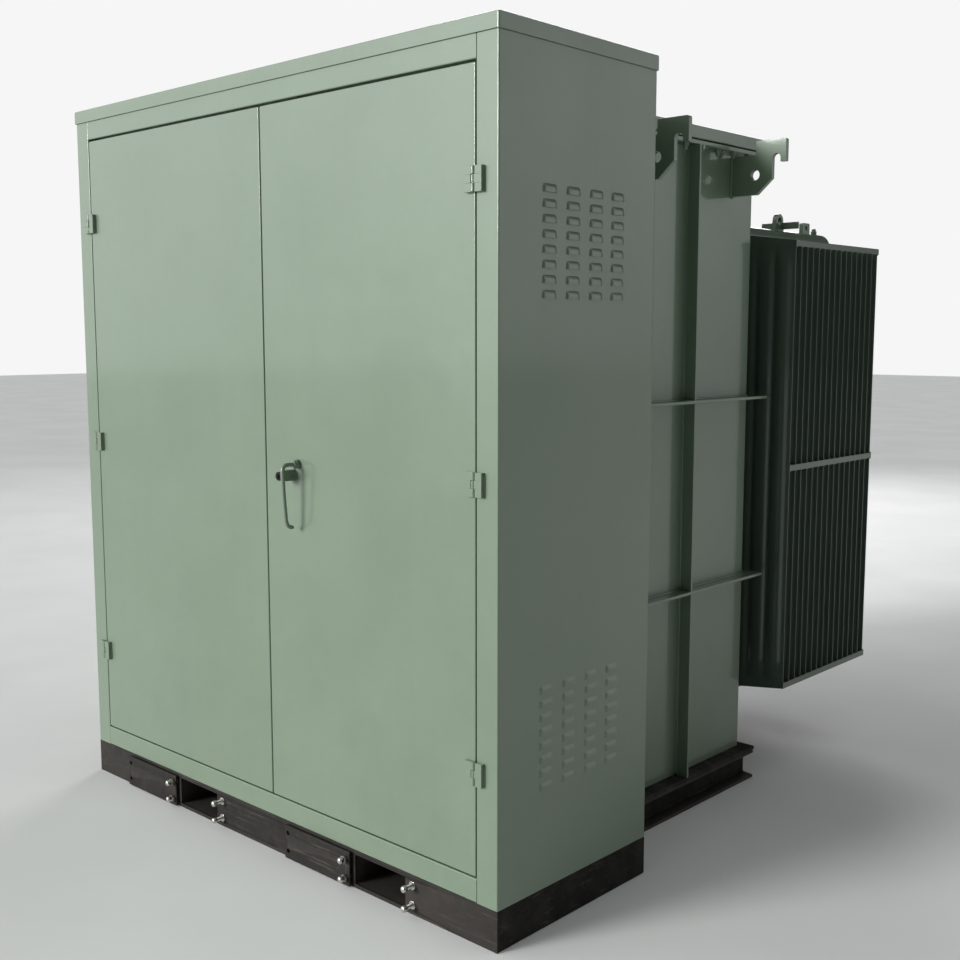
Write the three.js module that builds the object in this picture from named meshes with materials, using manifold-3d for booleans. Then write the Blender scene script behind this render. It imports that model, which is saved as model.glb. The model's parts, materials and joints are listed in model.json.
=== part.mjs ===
// A pad-mounted distribution transformer: a two-door terminal cabinet on a fork-pocket base,
// an oil tank with its core and coils behind it, and three finned radiators at the back.
// Millimetres, +Z up, +Y from the doors towards the radiators, origin under the middle of the footprint.
import * as THREE from "three";
import { mergeVertices } from "three/addons/utils/BufferGeometryUtils.js";
import Module from "manifold-3d";

const wasm = await Module();
wasm.setup();

// ---------------------------------------------------------------- driving dimensions
const GAP = 0.3; // left between pieces that touch
const SHEET = 3; // cabinet steel
const HALF = 939; // half the cabinet's width over its side walls
const CABINET_DEPTH = 620;
const BASE_HEIGHT = 109;
const HANDLE_REACH = 60; // how far the door handle stands out in front
const REAR_REACH = 2212; // from the cabinet's front to the tips of the radiator headers
const FRONT = -(REAR_REACH - HANDLE_REACH) / 2; // y of the cabinet's front face

const POST = 70; // width of each front corner post
const SILL_TOP = 172;
const DOOR_BOTTOM = 176;
const DOOR_TOP = 2143;
const HEADER_BOTTOM = 2149;
const FASCIA_BOTTOM = 2206;
const ROOF_TOP = 2245;
const WALL_TOP = ROOF_TOP - SHEET - GAP; // the roof pan rests on the walls and the header
const ROOF_LIP = 4.5; // the roof's skirt stands this far outside the walls
const DOOR_SPLIT = 47; // x of the line between the doors
const DOOR_DEPTH = 25; // depth of the folded door pan
const DOOR_STOP = 35; // depth of the frame's stop lip behind the doors

const HINGE = { centres: [446, 1163, 1878], height: 60, leaf: 27, thick: 9, knuckle: 6.5, pin: 3, side: 1.5 };
const HANDLE = { x: 191, z: 1163, rod: 6, shaft: 9, standoff: 54, drop: 175 };
const LATCH = { crank: 30, pin: 5, play: 1.4, barWidth: 20, barThick: 6, barDepth: 12 };

const POCKET = { centres: [-339, 511], width: 200, bottom: 12, top: 97, wall: 6 };
const STUD = { offset: 127, levels: [27, 81], radius: 6, reach: 38 };
const FORK_COVER = { width: 286, thick: 6, bottom: 3, top: 103, standoff: 6 };

const TANK = { half: 733, front: 600, rear: 1464, wall: 6, top: 2088 };
const FLANGE = { reach: 35, thick: 12, corner: 35 };
const COVER = { bottom: 2104.3, top: 2143, plate: 8, bar: 35 };
const PLATE = { overhang: 40, bottom: 97 };
const RIB = { y: 1089, thick: 8, reach: 42 };
const BELT = { levels: [711, 1311], thick: 9, side: 42, rear: 56 };
const LUG = { fronts: [793, 1329], thick: 16, hole: 16 };

const FIN = { count: 16, pitch: 40, first: 1582, thick: 6, half: 240, bottom: 306, top: 1828 };
const HEADER_PIPE = { radius: 44, levels: [290, 1846] };
const RADIATOR_PITCH = 593;

const CORE = { limb: 200, stack: 220, pitch: 440, bottom: 190, yoke: 210, window: 900, y: 1032 };
const COIL = { inner: 155, outer: 208 };

// ---------------------------------------------------------------- materials
function paint(color, roughness, metalness) {
  return new THREE.MeshStandardMaterial({ color, roughness, metalness });
}
const GREEN = paint(0x8fa68e, 0.3, 0.1);
const BLACK = paint(0x242322, 0.75, 0.1);
const STEEL = paint(0xb9bbb8, 0.35, 0.9);
const BRASS = paint(0xb08d4a, 0.35, 0.9);
const COPPER = paint(0xa8623c, 0.4, 0.9);
const PORCELAIN = paint(0x6b6f73, 0.3, 0);
const EPOXY = paint(0x3b3433, 0.45, 0);
const GASKET = paint(0x1b1b1b, 0.9, 0);
const DIAL = paint(0xe8e8e2, 0.4, 0);
const LAMINATION = paint(0x70757a, 0.55, 0.8);
const PAPER = paint(0xb99c6b, 0.8, 0);
const RED = paint(0xa23127, 0.45, 0);

// ---------------------------------------------------------------- solids
function solidOf(geometry) {
  const plain = geometry.clone();
  plain.deleteAttribute("normal");
  plain.deleteAttribute("uv");
  const merged = mergeVertices(plain, 1e-3);
  return new wasm.Manifold(
    new wasm.Mesh({
      numProp: 3,
      vertProperties: new Float32Array(merged.attributes.position.array),
      triVerts: new Uint32Array(merged.index.array),
    }),
  );
}

function geometryOf(solid) {
  const made = solid.getMesh();
  const geometry = new THREE.BufferGeometry();
  geometry.setAttribute("position", new THREE.BufferAttribute(made.vertProperties, 3));
  geometry.setIndex(new THREE.BufferAttribute(made.triVerts, 1));
  const flat = geometry.toNonIndexed();
  flat.computeVertexNormals();
  return flat;
}

// A block between two x, two y and two z. Every y below is a depth from the cabinet's front face.
function block(x0, x1, y0, y1, z0, z1) {
  const geometry = new THREE.BoxGeometry(x1 - x0, y1 - y0, z1 - z0);
  geometry.translate((x0 + x1) / 2, (y0 + y1) / 2, (z0 + z1) / 2);
  return solidOf(geometry);
}

// A round bar with its axis along x, y or z, from one end to the other.
function bar(axis, radius, centre, from, to, sides = 16) {
  const geometry = new THREE.CylinderGeometry(radius, radius, to - from, sides);
  const middle = (from + to) / 2;
  if (axis === "x") geometry.rotateZ(Math.PI / 2).translate(middle, centre[0], centre[1]);
  if (axis === "y") geometry.translate(centre[0], middle, centre[1]);
  if (axis === "z") geometry.rotateX(Math.PI / 2).translate(centre[0], centre[1], middle);
  return solidOf(geometry);
}

function outline(points) {
  return new THREE.Shape(points.map(([a, b]) => new THREE.Vector2(a, b)));
}

// A plan outline in x and y, pulled up from one z to another.
function plan(shape, from, to, curveSegments = 4) {
  const geometry = new THREE.ExtrudeGeometry(shape, { depth: to - from, bevelEnabled: false, curveSegments });
  geometry.translate(0, 0, from);
  return solidOf(geometry);
}

// A front outline in x and z, pulled back from one y to another.
function elevation(shape, from, to, curveSegments = 5) {
  const geometry = new THREE.ExtrudeGeometry(shape, { depth: to - from, bevelEnabled: false, curveSegments });
  geometry.rotateX(Math.PI / 2).translate(0, to, 0);
  return solidOf(geometry);
}

// An outline in y and z, pulled sideways from one x to another.
function section(points, from, to) {
  const geometry = new THREE.ExtrudeGeometry(outline(points), { depth: to - from, bevelEnabled: false });
  geometry.rotateY(Math.PI / 2).rotateX(Math.PI / 2).translate(from, 0, 0);
  return solidOf(geometry);
}

// A turned piece: pairs of radius and distance along its axis, which points towards the doors.
function turned(profile, x, y, z, sides = 20) {
  const points = profile.map(([radius, along]) => new THREE.Vector2(radius, along));
  const geometry = new THREE.LatheGeometry(points, sides);
  geometry.rotateX(Math.PI).translate(x, y, z);
  return solidOf(geometry);
}

// The radius of a many-sided hole that clears a round piece by the usual gap on every side.
function clearHole(radius, sides) {
  return (radius + GAP) / Math.cos(Math.PI / sides);
}

function join(solids) {
  return solids.reduce((whole, piece) => whole.add(piece));
}

function cut(solid, tools) {
  return tools.reduce((rest, tool) => rest.subtract(tool), solid);
}

function mirrored(solid) {
  return solid.mirror([1, 0, 0]);
}

function roundedRectangle(x0, x1, y0, y1, radius) {
  const shape = new THREE.Shape();
  shape.moveTo(x0 + radius, y0);
  shape.lineTo(x1 - radius, y0);
  shape.absarc(x1 - radius, y0 + radius, radius, -Math.PI / 2, 0);
  shape.lineTo(x1, y1 - radius);
  shape.absarc(x1 - radius, y1 - radius, radius, 0, Math.PI / 2);
  shape.lineTo(x0 + radius, y1);
  shape.absarc(x0 + radius, y1 - radius, radius, Math.PI / 2, Math.PI);
  shape.lineTo(x0, y0 + radius);
  shape.absarc(x0 + radius, y0 + radius, radius, Math.PI, 1.5 * Math.PI);
  return shape;
}

const transformer = new THREE.Group();
transformer.position.y = FRONT;

function add(name, solid, material) {
  const mesh = new THREE.Mesh(geometryOf(solid), material);
  mesh.name = name;
  transformer.add(mesh);
}

// ---------------------------------------------------------------- cabinet base with fork pockets
function channelAcross(y0, inward) {
  const web = inward > 0 ? [y0, y0 + 6] : [y0 - 6, y0];
  const flange = inward > 0 ? [y0, y0 + 60] : [y0 - 60, y0];
  return join([
    block(-HALF, HALF, ...web, 0, BASE_HEIGHT),
    block(-HALF, HALF, ...flange, 0, 8),
    block(-HALF, HALF, ...flange, BASE_HEIGHT - 8, BASE_HEIGHT),
  ]);
}

function channelAlong() {
  return join([
    block(HALF - 6, HALF, 0, CABINET_DEPTH, 0, BASE_HEIGHT),
    block(HALF - 60, HALF, 0, CABINET_DEPTH, 0, 8),
    block(HALF - 60, HALF, 0, CABINET_DEPTH, BASE_HEIGHT - 8, BASE_HEIGHT),
  ]);
}

const REAR_CHANNEL = TANK.front - 4; // its web closes the base in front of the tank's beams

function cabinetBase() {
  const side = channelAlong();
  const frame = [channelAcross(0, 1), channelAcross(REAR_CHANNEL, -1), side, mirrored(side)];
  const openings = [];
  for (const x of POCKET.centres) {
    const half = POCKET.width / 2;
    const wall = POCKET.wall;
    frame.push(block(x - half - wall, x + half + wall, 0, REAR_CHANNEL, POCKET.bottom - 4, POCKET.top + 4));
    openings.push(block(x - half, x + half, -10, CABINET_DEPTH, POCKET.bottom, POCKET.top));
  }
  const studs = [];
  for (const x of POCKET.centres) {
    for (const side of [-1, 1]) {
      for (const z of STUD.levels) {
        studs.push(bar("y", STUD.radius, [x + side * STUD.offset, z], -STUD.reach, 3, 10));
      }
    }
  }
  return join([cut(join(frame), openings), ...studs]);
}

add("cabinet_base_frame", cabinetBase(), BLACK);

// Each cover hangs on the pocket's left pair of studs, slid aside so that the pocket stays open.
function forkCover(pocketX) {
  const x = pocketX - 2 * STUD.offset;
  const half = FORK_COVER.width / 2;
  const rear = -FORK_COVER.standoff;
  const front = rear - FORK_COVER.thick;
  const holes = [];
  for (const side of [-1, 1]) {
    for (const z of STUD.levels) {
      holes.push(bar("y", STUD.radius + 0.8, [x + side * STUD.offset, z], front - 5, rear + 5, 10));
    }
  }
  return cut(block(x - half, x + half, front, rear, FORK_COVER.bottom, FORK_COVER.top), holes);
}

add("fork_cover_left", forkCover(POCKET.centres[0]), BLACK);
add("fork_cover_right", forkCover(POCKET.centres[1]), BLACK);

// ---------------------------------------------------------------- cabinet shell
function sideWall() {
  const inner = HALF - SHEET;
  const postInner = HALF - POST;
  const bottom = BASE_HEIGHT + GAP;
  const folded = outline([
    [HALF, 0],
    [HALF, CABINET_DEPTH],
    [TANK.half + 1, CABINET_DEPTH],
    [TANK.half + 1, CABINET_DEPTH - SHEET],
    [inner, CABINET_DEPTH - SHEET],
    [inner, SHEET],
    [postInner + SHEET, SHEET],
    [postInner + SHEET, DOOR_STOP + SHEET],
    [postInner - 15, DOOR_STOP + SHEET],
    [postInner - 15, DOOR_STOP],
    [postInner, DOOR_STOP],
    [postInner, 0],
  ]);
  const coverNotch = block(0, TANK.half + 37, 590, 640, TANK.top - 23, ROOF_TOP);
  return cut(plan(folded, bottom, WALL_TOP), [coverNotch]);
}

const rightWall = sideWall();
add("cabinet_wall_right", rightWall, GREEN);
add("cabinet_wall_left", mirrored(rightWall), GREEN);

const POST_INNER = HALF - POST;
const ROD_X = HANDLE.x + 34; // the upper latch rod's line; the lower one mirrors it about the handle
const LOWER_ROD_X = HANDLE.x - 34;
const ROD_Y = LATCH.barDepth + LATCH.barThick / 2;

function rodPassage(x, z0, z1) {
  const half = LATCH.barWidth / 2 + 3;
  const deep = LATCH.barThick / 2 + 3;
  return block(x - half, x + half, ROD_Y - deep, ROD_Y + deep, z0, z1);
}

// The frame's members are folded strips that run between the posts, with a stop lip behind the doors.
const STOP_INSET = 16; // the stop lip ends this far short of the posts' own lips
const STOP_HEIGHT = 14;

function stopLip(edge, towards) {
  const half = POST_INNER - GAP - STOP_INSET;
  const middle = edge - (towards * SHEET) / 2;
  const [low, high] = [edge - towards * (SHEET + 2), edge + towards * STOP_HEIGHT].sort((a, b) => a - b);
  return [
    block(-half, half, DOOR_STOP - 3, DOOR_STOP + 1, middle - 1, middle + 1),
    block(-half, half, DOOR_STOP, DOOR_STOP + SHEET, low, high),
  ];
}

function frontHeader() {
  const half = POST_INNER - GAP;
  const fold = section([
    [0, HEADER_BOTTOM],
    [DOOR_STOP - GAP, HEADER_BOTTOM],
    [DOOR_STOP - GAP, HEADER_BOTTOM + SHEET],
    [SHEET, HEADER_BOTTOM + SHEET],
    [SHEET, WALL_TOP],
    [0, WALL_TOP],
  ], -half, half);
  return cut(join([fold, ...stopLip(HEADER_BOTTOM, -1)]), [
    rodPassage(ROD_X, HEADER_BOTTOM - 5, HEADER_BOTTOM + 10),
  ]);
}

function frontSill() {
  const half = POST_INNER - GAP;
  const low = BASE_HEIGHT + GAP;
  const fold = section([
    [0, low],
    [DOOR_STOP - GAP, low],
    [DOOR_STOP - GAP, low + SHEET],
    [SHEET, low + SHEET],
    [SHEET, SILL_TOP - SHEET],
    [DOOR_STOP - GAP, SILL_TOP - SHEET],
    [DOOR_STOP - GAP, SILL_TOP],
    [0, SILL_TOP],
  ], -half, half);
  return cut(join([fold, ...stopLip(SILL_TOP, 1)]), [rodPassage(LOWER_ROD_X, SILL_TOP - 10, SILL_TOP + 5)]);
}

add("front_header", frontHeader(), GREEN);
add("front_sill", frontSill(), GREEN);

function cabinetRoof() {
  const out = HALF + ROOF_LIP;
  const front = -ROOF_LIP;
  const rear = CABINET_DEPTH + GAP + SHEET;
  const shell = cut(block(-out, out, front, rear, FASCIA_BOTTOM, ROOF_TOP), [
    block(-out + SHEET, out - SHEET, front + SHEET, rear - SHEET, FASCIA_BOTTOM - 10, ROOF_TOP - SHEET),
  ]);
  const apron = block(-(TANK.half + 67), TANK.half + 67, rear - SHEET, rear, COVER.top + 1.3, FASCIA_BOTTOM + 5);
  return join([shell, apron]);
}

add("cabinet_roof", cabinetRoof(), GREEN);

const BARRIER_FRONT = 48;
const BARRIER_FLANGE = 20;

function compartmentBarrier() {
  const low = BASE_HEIGHT + 4;
  const high = TANK.top - 10;
  const rear = TANK.front - 2;
  const left = DOOR_SPLIT - SHEET / 2;
  const right = DOOR_SPLIT + SHEET / 2;
  const folded = outline([
    [left, BARRIER_FRONT],
    [left + BARRIER_FLANGE, BARRIER_FRONT],
    [left + BARRIER_FLANGE, BARRIER_FRONT + SHEET],
    [right, BARRIER_FRONT + SHEET],
    [right, rear - SHEET],
    [left + BARRIER_FLANGE, rear - SHEET],
    [left + BARRIER_FLANGE, rear],
    [left, rear],
  ]);
  return plan(folded, low, high);
}

add("compartment_barrier", compartmentBarrier(), GREEN);

// ---------------------------------------------------------------- doors and hinges
const HINGE_X = POST_INNER - 1.5; // the pin stands over the gap between door and post
const HINGE_Y = -HINGE.thick;

function doorPan(x0, x1) {
  const folded = cut(block(x0, x1, 0, DOOR_DEPTH, DOOR_BOTTOM, DOOR_TOP), [
    block(x0 + SHEET, x1 - SHEET, SHEET, DOOR_DEPTH + 5, DOOR_BOTTOM + SHEET, DOOR_TOP - SHEET),
  ]);
  const middle = (x0 + x1) / 2 + 60;
  const hat = cut(block(middle - 35, middle + 35, 2, 22, DOOR_BOTTOM + 20, DOOR_TOP - 20), [
    block(middle - 33, middle + 33, SHEET, 20, DOOR_BOTTOM, DOOR_TOP),
  ]);
  return join([folded, hat]);
}

// One hinge leaf. The post's leaf has the middle knuckle and the pin, the door's leaf the outer two.
function postLeaf(z) {
  const third = HINGE.height / 6;
  const [low, high] = [z - HINGE.height / 2, z + HINGE.height / 2];
  const axis = [HINGE_X, HINGE_Y];
  const edge = HINGE_X + HINGE.side;
  const relief = HINGE.knuckle + 0.8;
  const leaf = cut(block(edge, edge + HINGE.leaf, HINGE_Y, -GAP, low, high), [
    bar("z", relief, axis, low - 1, z - third, 12),
    bar("z", relief, axis, z + third, high + 1, 12),
  ]);
  const knuckle = bar("z", HINGE.knuckle, axis, z - third + GAP, z + third - GAP, 12);
  return join([leaf, knuckle, bar("z", HINGE.pin, axis, low, high, 8)]);
}

// The door's leaf is welded on, so it reaches a little way into the door's face.
function doorLeaf(z) {
  const third = HINGE.height / 6;
  const [low, high] = [z - HINGE.height / 2, z + HINGE.height / 2];
  const axis = [HINGE_X, HINGE_Y];
  const edge = HINGE_X - HINGE.side;
  const relief = HINGE.knuckle + 0.8;
  const leaf = cut(block(edge - HINGE.leaf, edge, HINGE_Y, 1, low, high), [
    bar("z", relief, axis, z - third, z + third, 12),
  ]);
  const knuckles = [
    bar("z", HINGE.knuckle, axis, low, z - third, 12),
    bar("z", HINGE.knuckle, axis, z + third, high, 12),
  ];
  return cut(join([leaf, ...knuckles]), [bar("z", HINGE.pin + 0.5, axis, low - 1, high + 1, 8)]);
}

const doorLeaves = HINGE.centres.map(doorLeaf);
const leftDoor = join([doorPan(-(POST_INNER - 3), DOOR_SPLIT - 2), ...doorLeaves.map(mirrored)]);
const rightPan = cut(doorPan(DOOR_SPLIT + 2, POST_INNER - 3), [
  bar("y", HANDLE.shaft + 1, [HANDLE.x, HANDLE.z], -5, 10, 24),
  rodPassage(ROD_X, DOOR_TOP - 10, DOOR_TOP + 5),
  rodPassage(LOWER_ROD_X, DOOR_BOTTOM - 5, DOOR_BOTTOM + 10),
]);
add("left_door", leftDoor, GREEN);
add("right_door", join([rightPan, ...doorLeaves]), GREEN);

const HINGE_PLACES = ["lower", "middle", "upper"];
HINGE.centres.forEach((z, index) => {
  const leaf = postLeaf(z);
  add(`hinge_${HINGE_PLACES[index]}_right`, leaf, GREEN);
  add(`hinge_${HINGE_PLACES[index]}_left`, mirrored(leaf), GREEN);
});

// ---------------------------------------------------------------- handle, lock and latch
const CAM_FRONT = ROD_Y + LATCH.barThick / 2 + 4;

function crankPin(angle) {
  const x = HANDLE.x + LATCH.crank * Math.cos(angle);
  const z = HANDLE.z + LATCH.crank * Math.sin(angle);
  return [x, z];
}

const UPPER_PIN = crankPin(-Math.PI / 4);
const LOWER_PIN = crankPin((3 * Math.PI) / 4);

function handleLever() {
  const { x, z, standoff, drop, rod } = HANDLE;
  const path = new THREE.CurvePath();
  const at = (y, height) => new THREE.Vector3(x, y, height);
  path.add(new THREE.LineCurve3(at(-16, z), at(-standoff + 16, z)));
  path.add(new THREE.QuadraticBezierCurve3(at(-standoff + 16, z), at(-standoff, z), at(-standoff, z - 16)));
  path.add(new THREE.LineCurve3(at(-standoff, z - 16), at(-standoff + 9, z - drop + 22)));
  path.add(
    new THREE.QuadraticBezierCurve3(
      at(-standoff + 9, z - drop + 22),
      at(-standoff + 12, z - drop + 2),
      at(-standoff + 33, z - drop),
    ),
  );
  const section = new THREE.Shape();
  section.absarc(0, 0, rod, 0, 2 * Math.PI);
  const lever = new THREE.ExtrudeGeometry(section, { extrudePath: path, steps: 18, curveSegments: 4 });
  const collars = [[-19, -14, 11], [-13, -8, 13], [-7, -2.5, 13]];
  const cam = outline([
    [UPPER_PIN[0] + 10, UPPER_PIN[1] - 2],
    [UPPER_PIN[0] + 2, UPPER_PIN[1] - 10],
    [LOWER_PIN[0] - 10, LOWER_PIN[1] + 2],
    [LOWER_PIN[0] - 2, LOWER_PIN[1] + 10],
  ].reverse());
  return join([
    solidOf(lever),
    bar("y", HANDLE.shaft, [x, z], -18, CAM_FRONT + 6, 16),
    ...collars.map(([from, to, radius]) => bar("y", radius, [x, z], from, to, 14)),
    elevation(cam, CAM_FRONT, CAM_FRONT + 5),
    bar("y", LATCH.pin, UPPER_PIN, LATCH.barDepth - 2, CAM_FRONT + 2, 12),
    bar("y", LATCH.pin, LOWER_PIN, LATCH.barDepth - 2, CAM_FRONT + 2, 12),
  ]);
}

// The crank's pin slides across the rod's slot as it lifts or lowers the rod.
function latchRod(pin, barX, outward, end) {
  const side = Math.sign(barX - HANDLE.x);
  const near = HANDLE.x + side * (LATCH.crank * Math.SQRT1_2 - LATCH.pin - 1.5);
  const far = HANDLE.x + side * (LATCH.crank + LATCH.pin + 1.5);
  const slotHalf = LATCH.pin + LATCH.play;
  const slot = block(
    Math.min(near, far), Math.max(near, far), 0, 40, pin[1] - slotHalf, pin[1] + slotHalf);
  const headIn = near - side * 5;
  const headOut = far + side * 6;
  const [y0, y1] = [LATCH.barDepth, LATCH.barDepth + LATCH.barThick];
  const head = block(
    Math.min(headIn, headOut), Math.max(headIn, headOut), y0, y1, pin[1] - 14, pin[1] + 14);
  const start = pin[1] + outward * 8;
  const half = LATCH.barWidth / 2;
  const shank = block(barX - half, barX + half, y0, y1, Math.min(start, end), Math.max(start, end));
  return cut(join([head, shank]), [slot]);
}

add("door_handle", handleLever(), GREEN);
add("latch_rod_upper", latchRod(UPPER_PIN, ROD_X, 1, DOOR_TOP + 1), STEEL);
add("latch_rod_lower", latchRod(LOWER_PIN, LOWER_ROD_X, -1, DOOR_BOTTOM - 1), STEEL);

// A plate that stands out beside the handle and carries a captive bolt with a wide round head.
const LOCK = { x0: 156, x1: 180, front: -46, z0: 1116, z1: 1147 };
const LOCK_BOLT = [168, 1131];
add(
  "lock_block",
  cut(block(LOCK.x0, LOCK.x1, LOCK.front, -GAP, LOCK.z0, LOCK.z1), [
    bar("y", 5.6, LOCK_BOLT, LOCK.front - 5, -12, 12),
  ]),
  GREEN,
);
add(
  "lock_bolt",
  join([
    bar("y", 5, LOCK_BOLT, LOCK.front - 2, -14, 12),
    bar("y", 12, LOCK_BOLT, LOCK.front - 6, LOCK.front - GAP, 20),
    bar("y", 5.4, LOCK_BOLT, LOCK.front - 11, LOCK.front - 5, 5),
  ]),
  BLACK,
);

// ---------------------------------------------------------------- tank
const HV_BUSHINGS = [-640, -470, -300].map((x) => ({ x, z: 1000 }));
const FUSES = [-640, -470, -300].map((x) => ({ x, z: 1420 }));
const SWITCH = { x: -150, z: 1560 };
const TAP_CHANGER = { x: -150, z: 1150 };
const LV_BUSHINGS = [250, 400, 550, 700].map((x, index) => ({ x, z: index === 0 ? 1120 : 1260 }));
const GAUGES = { level: [300, 1760], thermometer: [500, 1760] };
const RELIEF = { x: 690, z: 1930 };
const DRAIN = { x: 700, z: 235 };
const HV_SHANK = 34;
const LV_SHANK = 26;
const FUSE_SHANK = 20;
const SMALL_SHANK = 11;

function tankShell() {
  const { half, front, rear, wall, top } = TANK;
  const low = BASE_HEIGHT + GAP;
  const walls = cut(block(-half, half, front, rear, low, top + FLANGE.thick), [
    block(-half + wall, half - wall, front + wall, rear - wall, low - 5, top + FLANGE.thick + 5),
  ]);
  const out = FLANGE.reach;
  const rim = roundedRectangle(-half - out, half + out, front - out, rear + out, FLANGE.corner);
  const flange = cut(plan(rim, top, top + FLANGE.thick), [
    block(-half + wall, half - wall, front + wall, rear - wall, top - 5, top + FLANGE.thick + 5),
  ]);
  const ribs = [];
  const breaks = [low, ...BELT.levels, top - 2];
  for (let index = 0; index + 1 < breaks.length; index += 1) {
    const clear = BELT.thick / 2 + 0.5;
    const from = breaks[index] + (index === 0 ? 0 : clear);
    const to = breaks[index + 1] - (index + 2 === breaks.length ? 0 : clear);
    const rib = block(half - 1, half + RIB.reach, RIB.y - RIB.thick / 2, RIB.y + RIB.thick / 2, from, to);
    ribs.push(rib, mirrored(rib));
  }
  const through = (list, radius, sides) =>
    list.map(({ x, z }) => bar("y", clearHole(radius, sides), [x, z], front - 10, front + wall + 10, sides));
  const headers = [];
  for (const x of [-RADIATOR_PITCH, 0, RADIATOR_PITCH]) {
    for (const z of HEADER_PIPE.levels) {
      headers.push(bar("y", HEADER_PIPE.radius + 0.5, [x, z], rear - wall - 10, rear + 10, 8));
    }
  }
  const gauges = Object.values(GAUGES).map(([x, z]) => ({ x, z }));
  return cut(join([walls, flange, ...ribs]), [
    ...through(HV_BUSHINGS, HV_SHANK, 16),
    ...through(LV_BUSHINGS, LV_SHANK, 14),
    ...through(FUSES, FUSE_SHANK, 12),
    ...through([SWITCH, TAP_CHANGER, RELIEF, DRAIN, ...gauges], SMALL_SHANK, 10),
    ...headers,
  ]);
}

add("tank_shell", tankShell(), GREEN);

function tankCover() {
  const out = FLANGE.reach;
  const { half, front, rear } = TANK;
  const rim = roundedRectangle(-half - out, half + out, front - out, rear + out, FLANGE.corner);
  const inner = block(
    -half - out + COVER.bar, half + out - COVER.bar, front - out + COVER.bar, rear + out - COVER.bar,
    COVER.bottom - 5, COVER.top - COVER.plate);
  return cut(plan(rim, COVER.bottom, COVER.top), [inner]);
}

add("tank_cover", tankCover(), GREEN);

function coverGasket() {
  const { half, front, rear } = TANK;
  const from = TANK.top + FLANGE.thick + GAP;
  return cut(block(-half - 18, half + 18, front - 18, rear + 18, from, COVER.bottom - GAP), [
    block(-half - 4, half + 4, front - 4, rear + 4, from - 5, COVER.bottom + 5),
  ]);
}

add("cover_gasket", coverGasket(), GASKET);

const TANK_OUT = TANK.half + PLATE.overhang;
const TANK_END = TANK.rear + PLATE.overhang;
add("tank_base_plate", block(-TANK_OUT, TANK_OUT, TANK.front, TANK_END, PLATE.bottom, BASE_HEIGHT), BLACK);

function baseBeam() {
  const [from, to] = [TANK.front, TANK_END - 10];
  const top = PLATE.bottom - GAP;
  const centre = TANK.half;
  return join([
    block(centre - 4, centre + 4, from, to, 0, top),
    block(centre - 42, centre + 42, from, to, 0, 10),
    block(centre - 42, centre + 42, from, to, top - 10, top),
  ]);
}

add("base_beam_right", baseBeam(), BLACK);
add("base_beam_left", mirrored(baseBeam()), BLACK);

function tankBelt(z) {
  const side = TANK.half + BELT.side;
  const rear = TANK.rear + BELT.rear;
  const inner = TANK.half + GAP;
  const innerRear = TANK.rear + GAP;
  const front = CABINET_DEPTH + 1;
  const shape = outline([
    [inner, front],
    [side, front],
    [side, rear],
    [-side, rear],
    [-side, front],
    [-inner, front],
    [-inner, innerRear],
    [inner, innerRear],
  ]);
  return plan(shape, z - BELT.thick / 2, z + BELT.thick / 2);
}

add("tank_belt_lower", tankBelt(BELT.levels[0]), GREEN);
add("tank_belt_upper", tankBelt(BELT.levels[1]), GREEN);

// A plate on edge, welded to the tank's side: a downward hook over a sling throat, and a shackle hole.
function liftingLug(y) {
  const wall = TANK.half + GAP;
  const u = (distance) => TANK.half + distance;
  const shape = new THREE.Shape();
  shape.moveTo(wall, 1953);
  shape.lineTo(u(93), 1953);
  shape.lineTo(u(146), 2000);
  shape.lineTo(u(146), 2058);
  shape.absarc(u(160), 2060, 14, Math.PI, 0, true);
  shape.lineTo(u(174), 2048);
  shape.lineTo(u(193), 2048);
  shape.lineTo(u(193), 2104);
  shape.lineTo(u(189), 2113);
  shape.lineTo(u(179), 2118);
  shape.lineTo(u(88), 2118);
  shape.lineTo(u(88), 2076);
  shape.lineTo(wall, 2076);
  const hole = new THREE.Path();
  hole.absarc(u(87), 2014, LUG.hole, 0, 2 * Math.PI, true);
  shape.holes.push(hole);
  return elevation(shape, y, y + LUG.thick);
}

const LUG_PLACES = ["front", "rear"];
LUG.fronts.forEach((y, index) => {
  const lug = liftingLug(y);
  add(`lifting_lug_${LUG_PLACES[index]}_right`, lug, GREEN);
  add(`lifting_lug_${LUG_PLACES[index]}_left`, mirrored(lug), GREEN);
});

// ---------------------------------------------------------------- radiators
function radiator(x) {
  const { count, pitch, first, thick, half, bottom, top } = FIN;
  const [low, high] = HEADER_PIPE.levels;
  const shape = outline([
    [x - half, bottom],
    [x - 60, low - 6],
    [x + 60, low - 6],
    [x + half, bottom],
    [x + half, top],
    [x + 60, high + 6],
    [x - 60, high + 6],
    [x - half, top],
  ]);
  const pieces = [];
  for (let index = 0; index < count; index += 1) {
    const y = first + index * pitch;
    pieces.push(elevation(shape, y - thick / 2, y + thick / 2));
  }
  const inTank = TANK.rear - TANK.wall - 8;
  for (const z of HEADER_PIPE.levels) {
    pieces.push(bar("y", HEADER_PIPE.radius, [x, z], inTank, REAR_REACH, 8));
  }
  const eye = cut(block(x - 8, x + 8, 1850, 1914, high + 20, high + 104), [
    bar("x", 14, [1882, high + 76], x - 20, x + 20, 12),
  ]);
  pieces.push(eye);
  return join(pieces);
}

add("radiator_left", radiator(-RADIATOR_PITCH), GREEN);
add("radiator_centre", radiator(0), GREEN);
add("radiator_right", radiator(RADIATOR_PITCH), GREEN);

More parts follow.
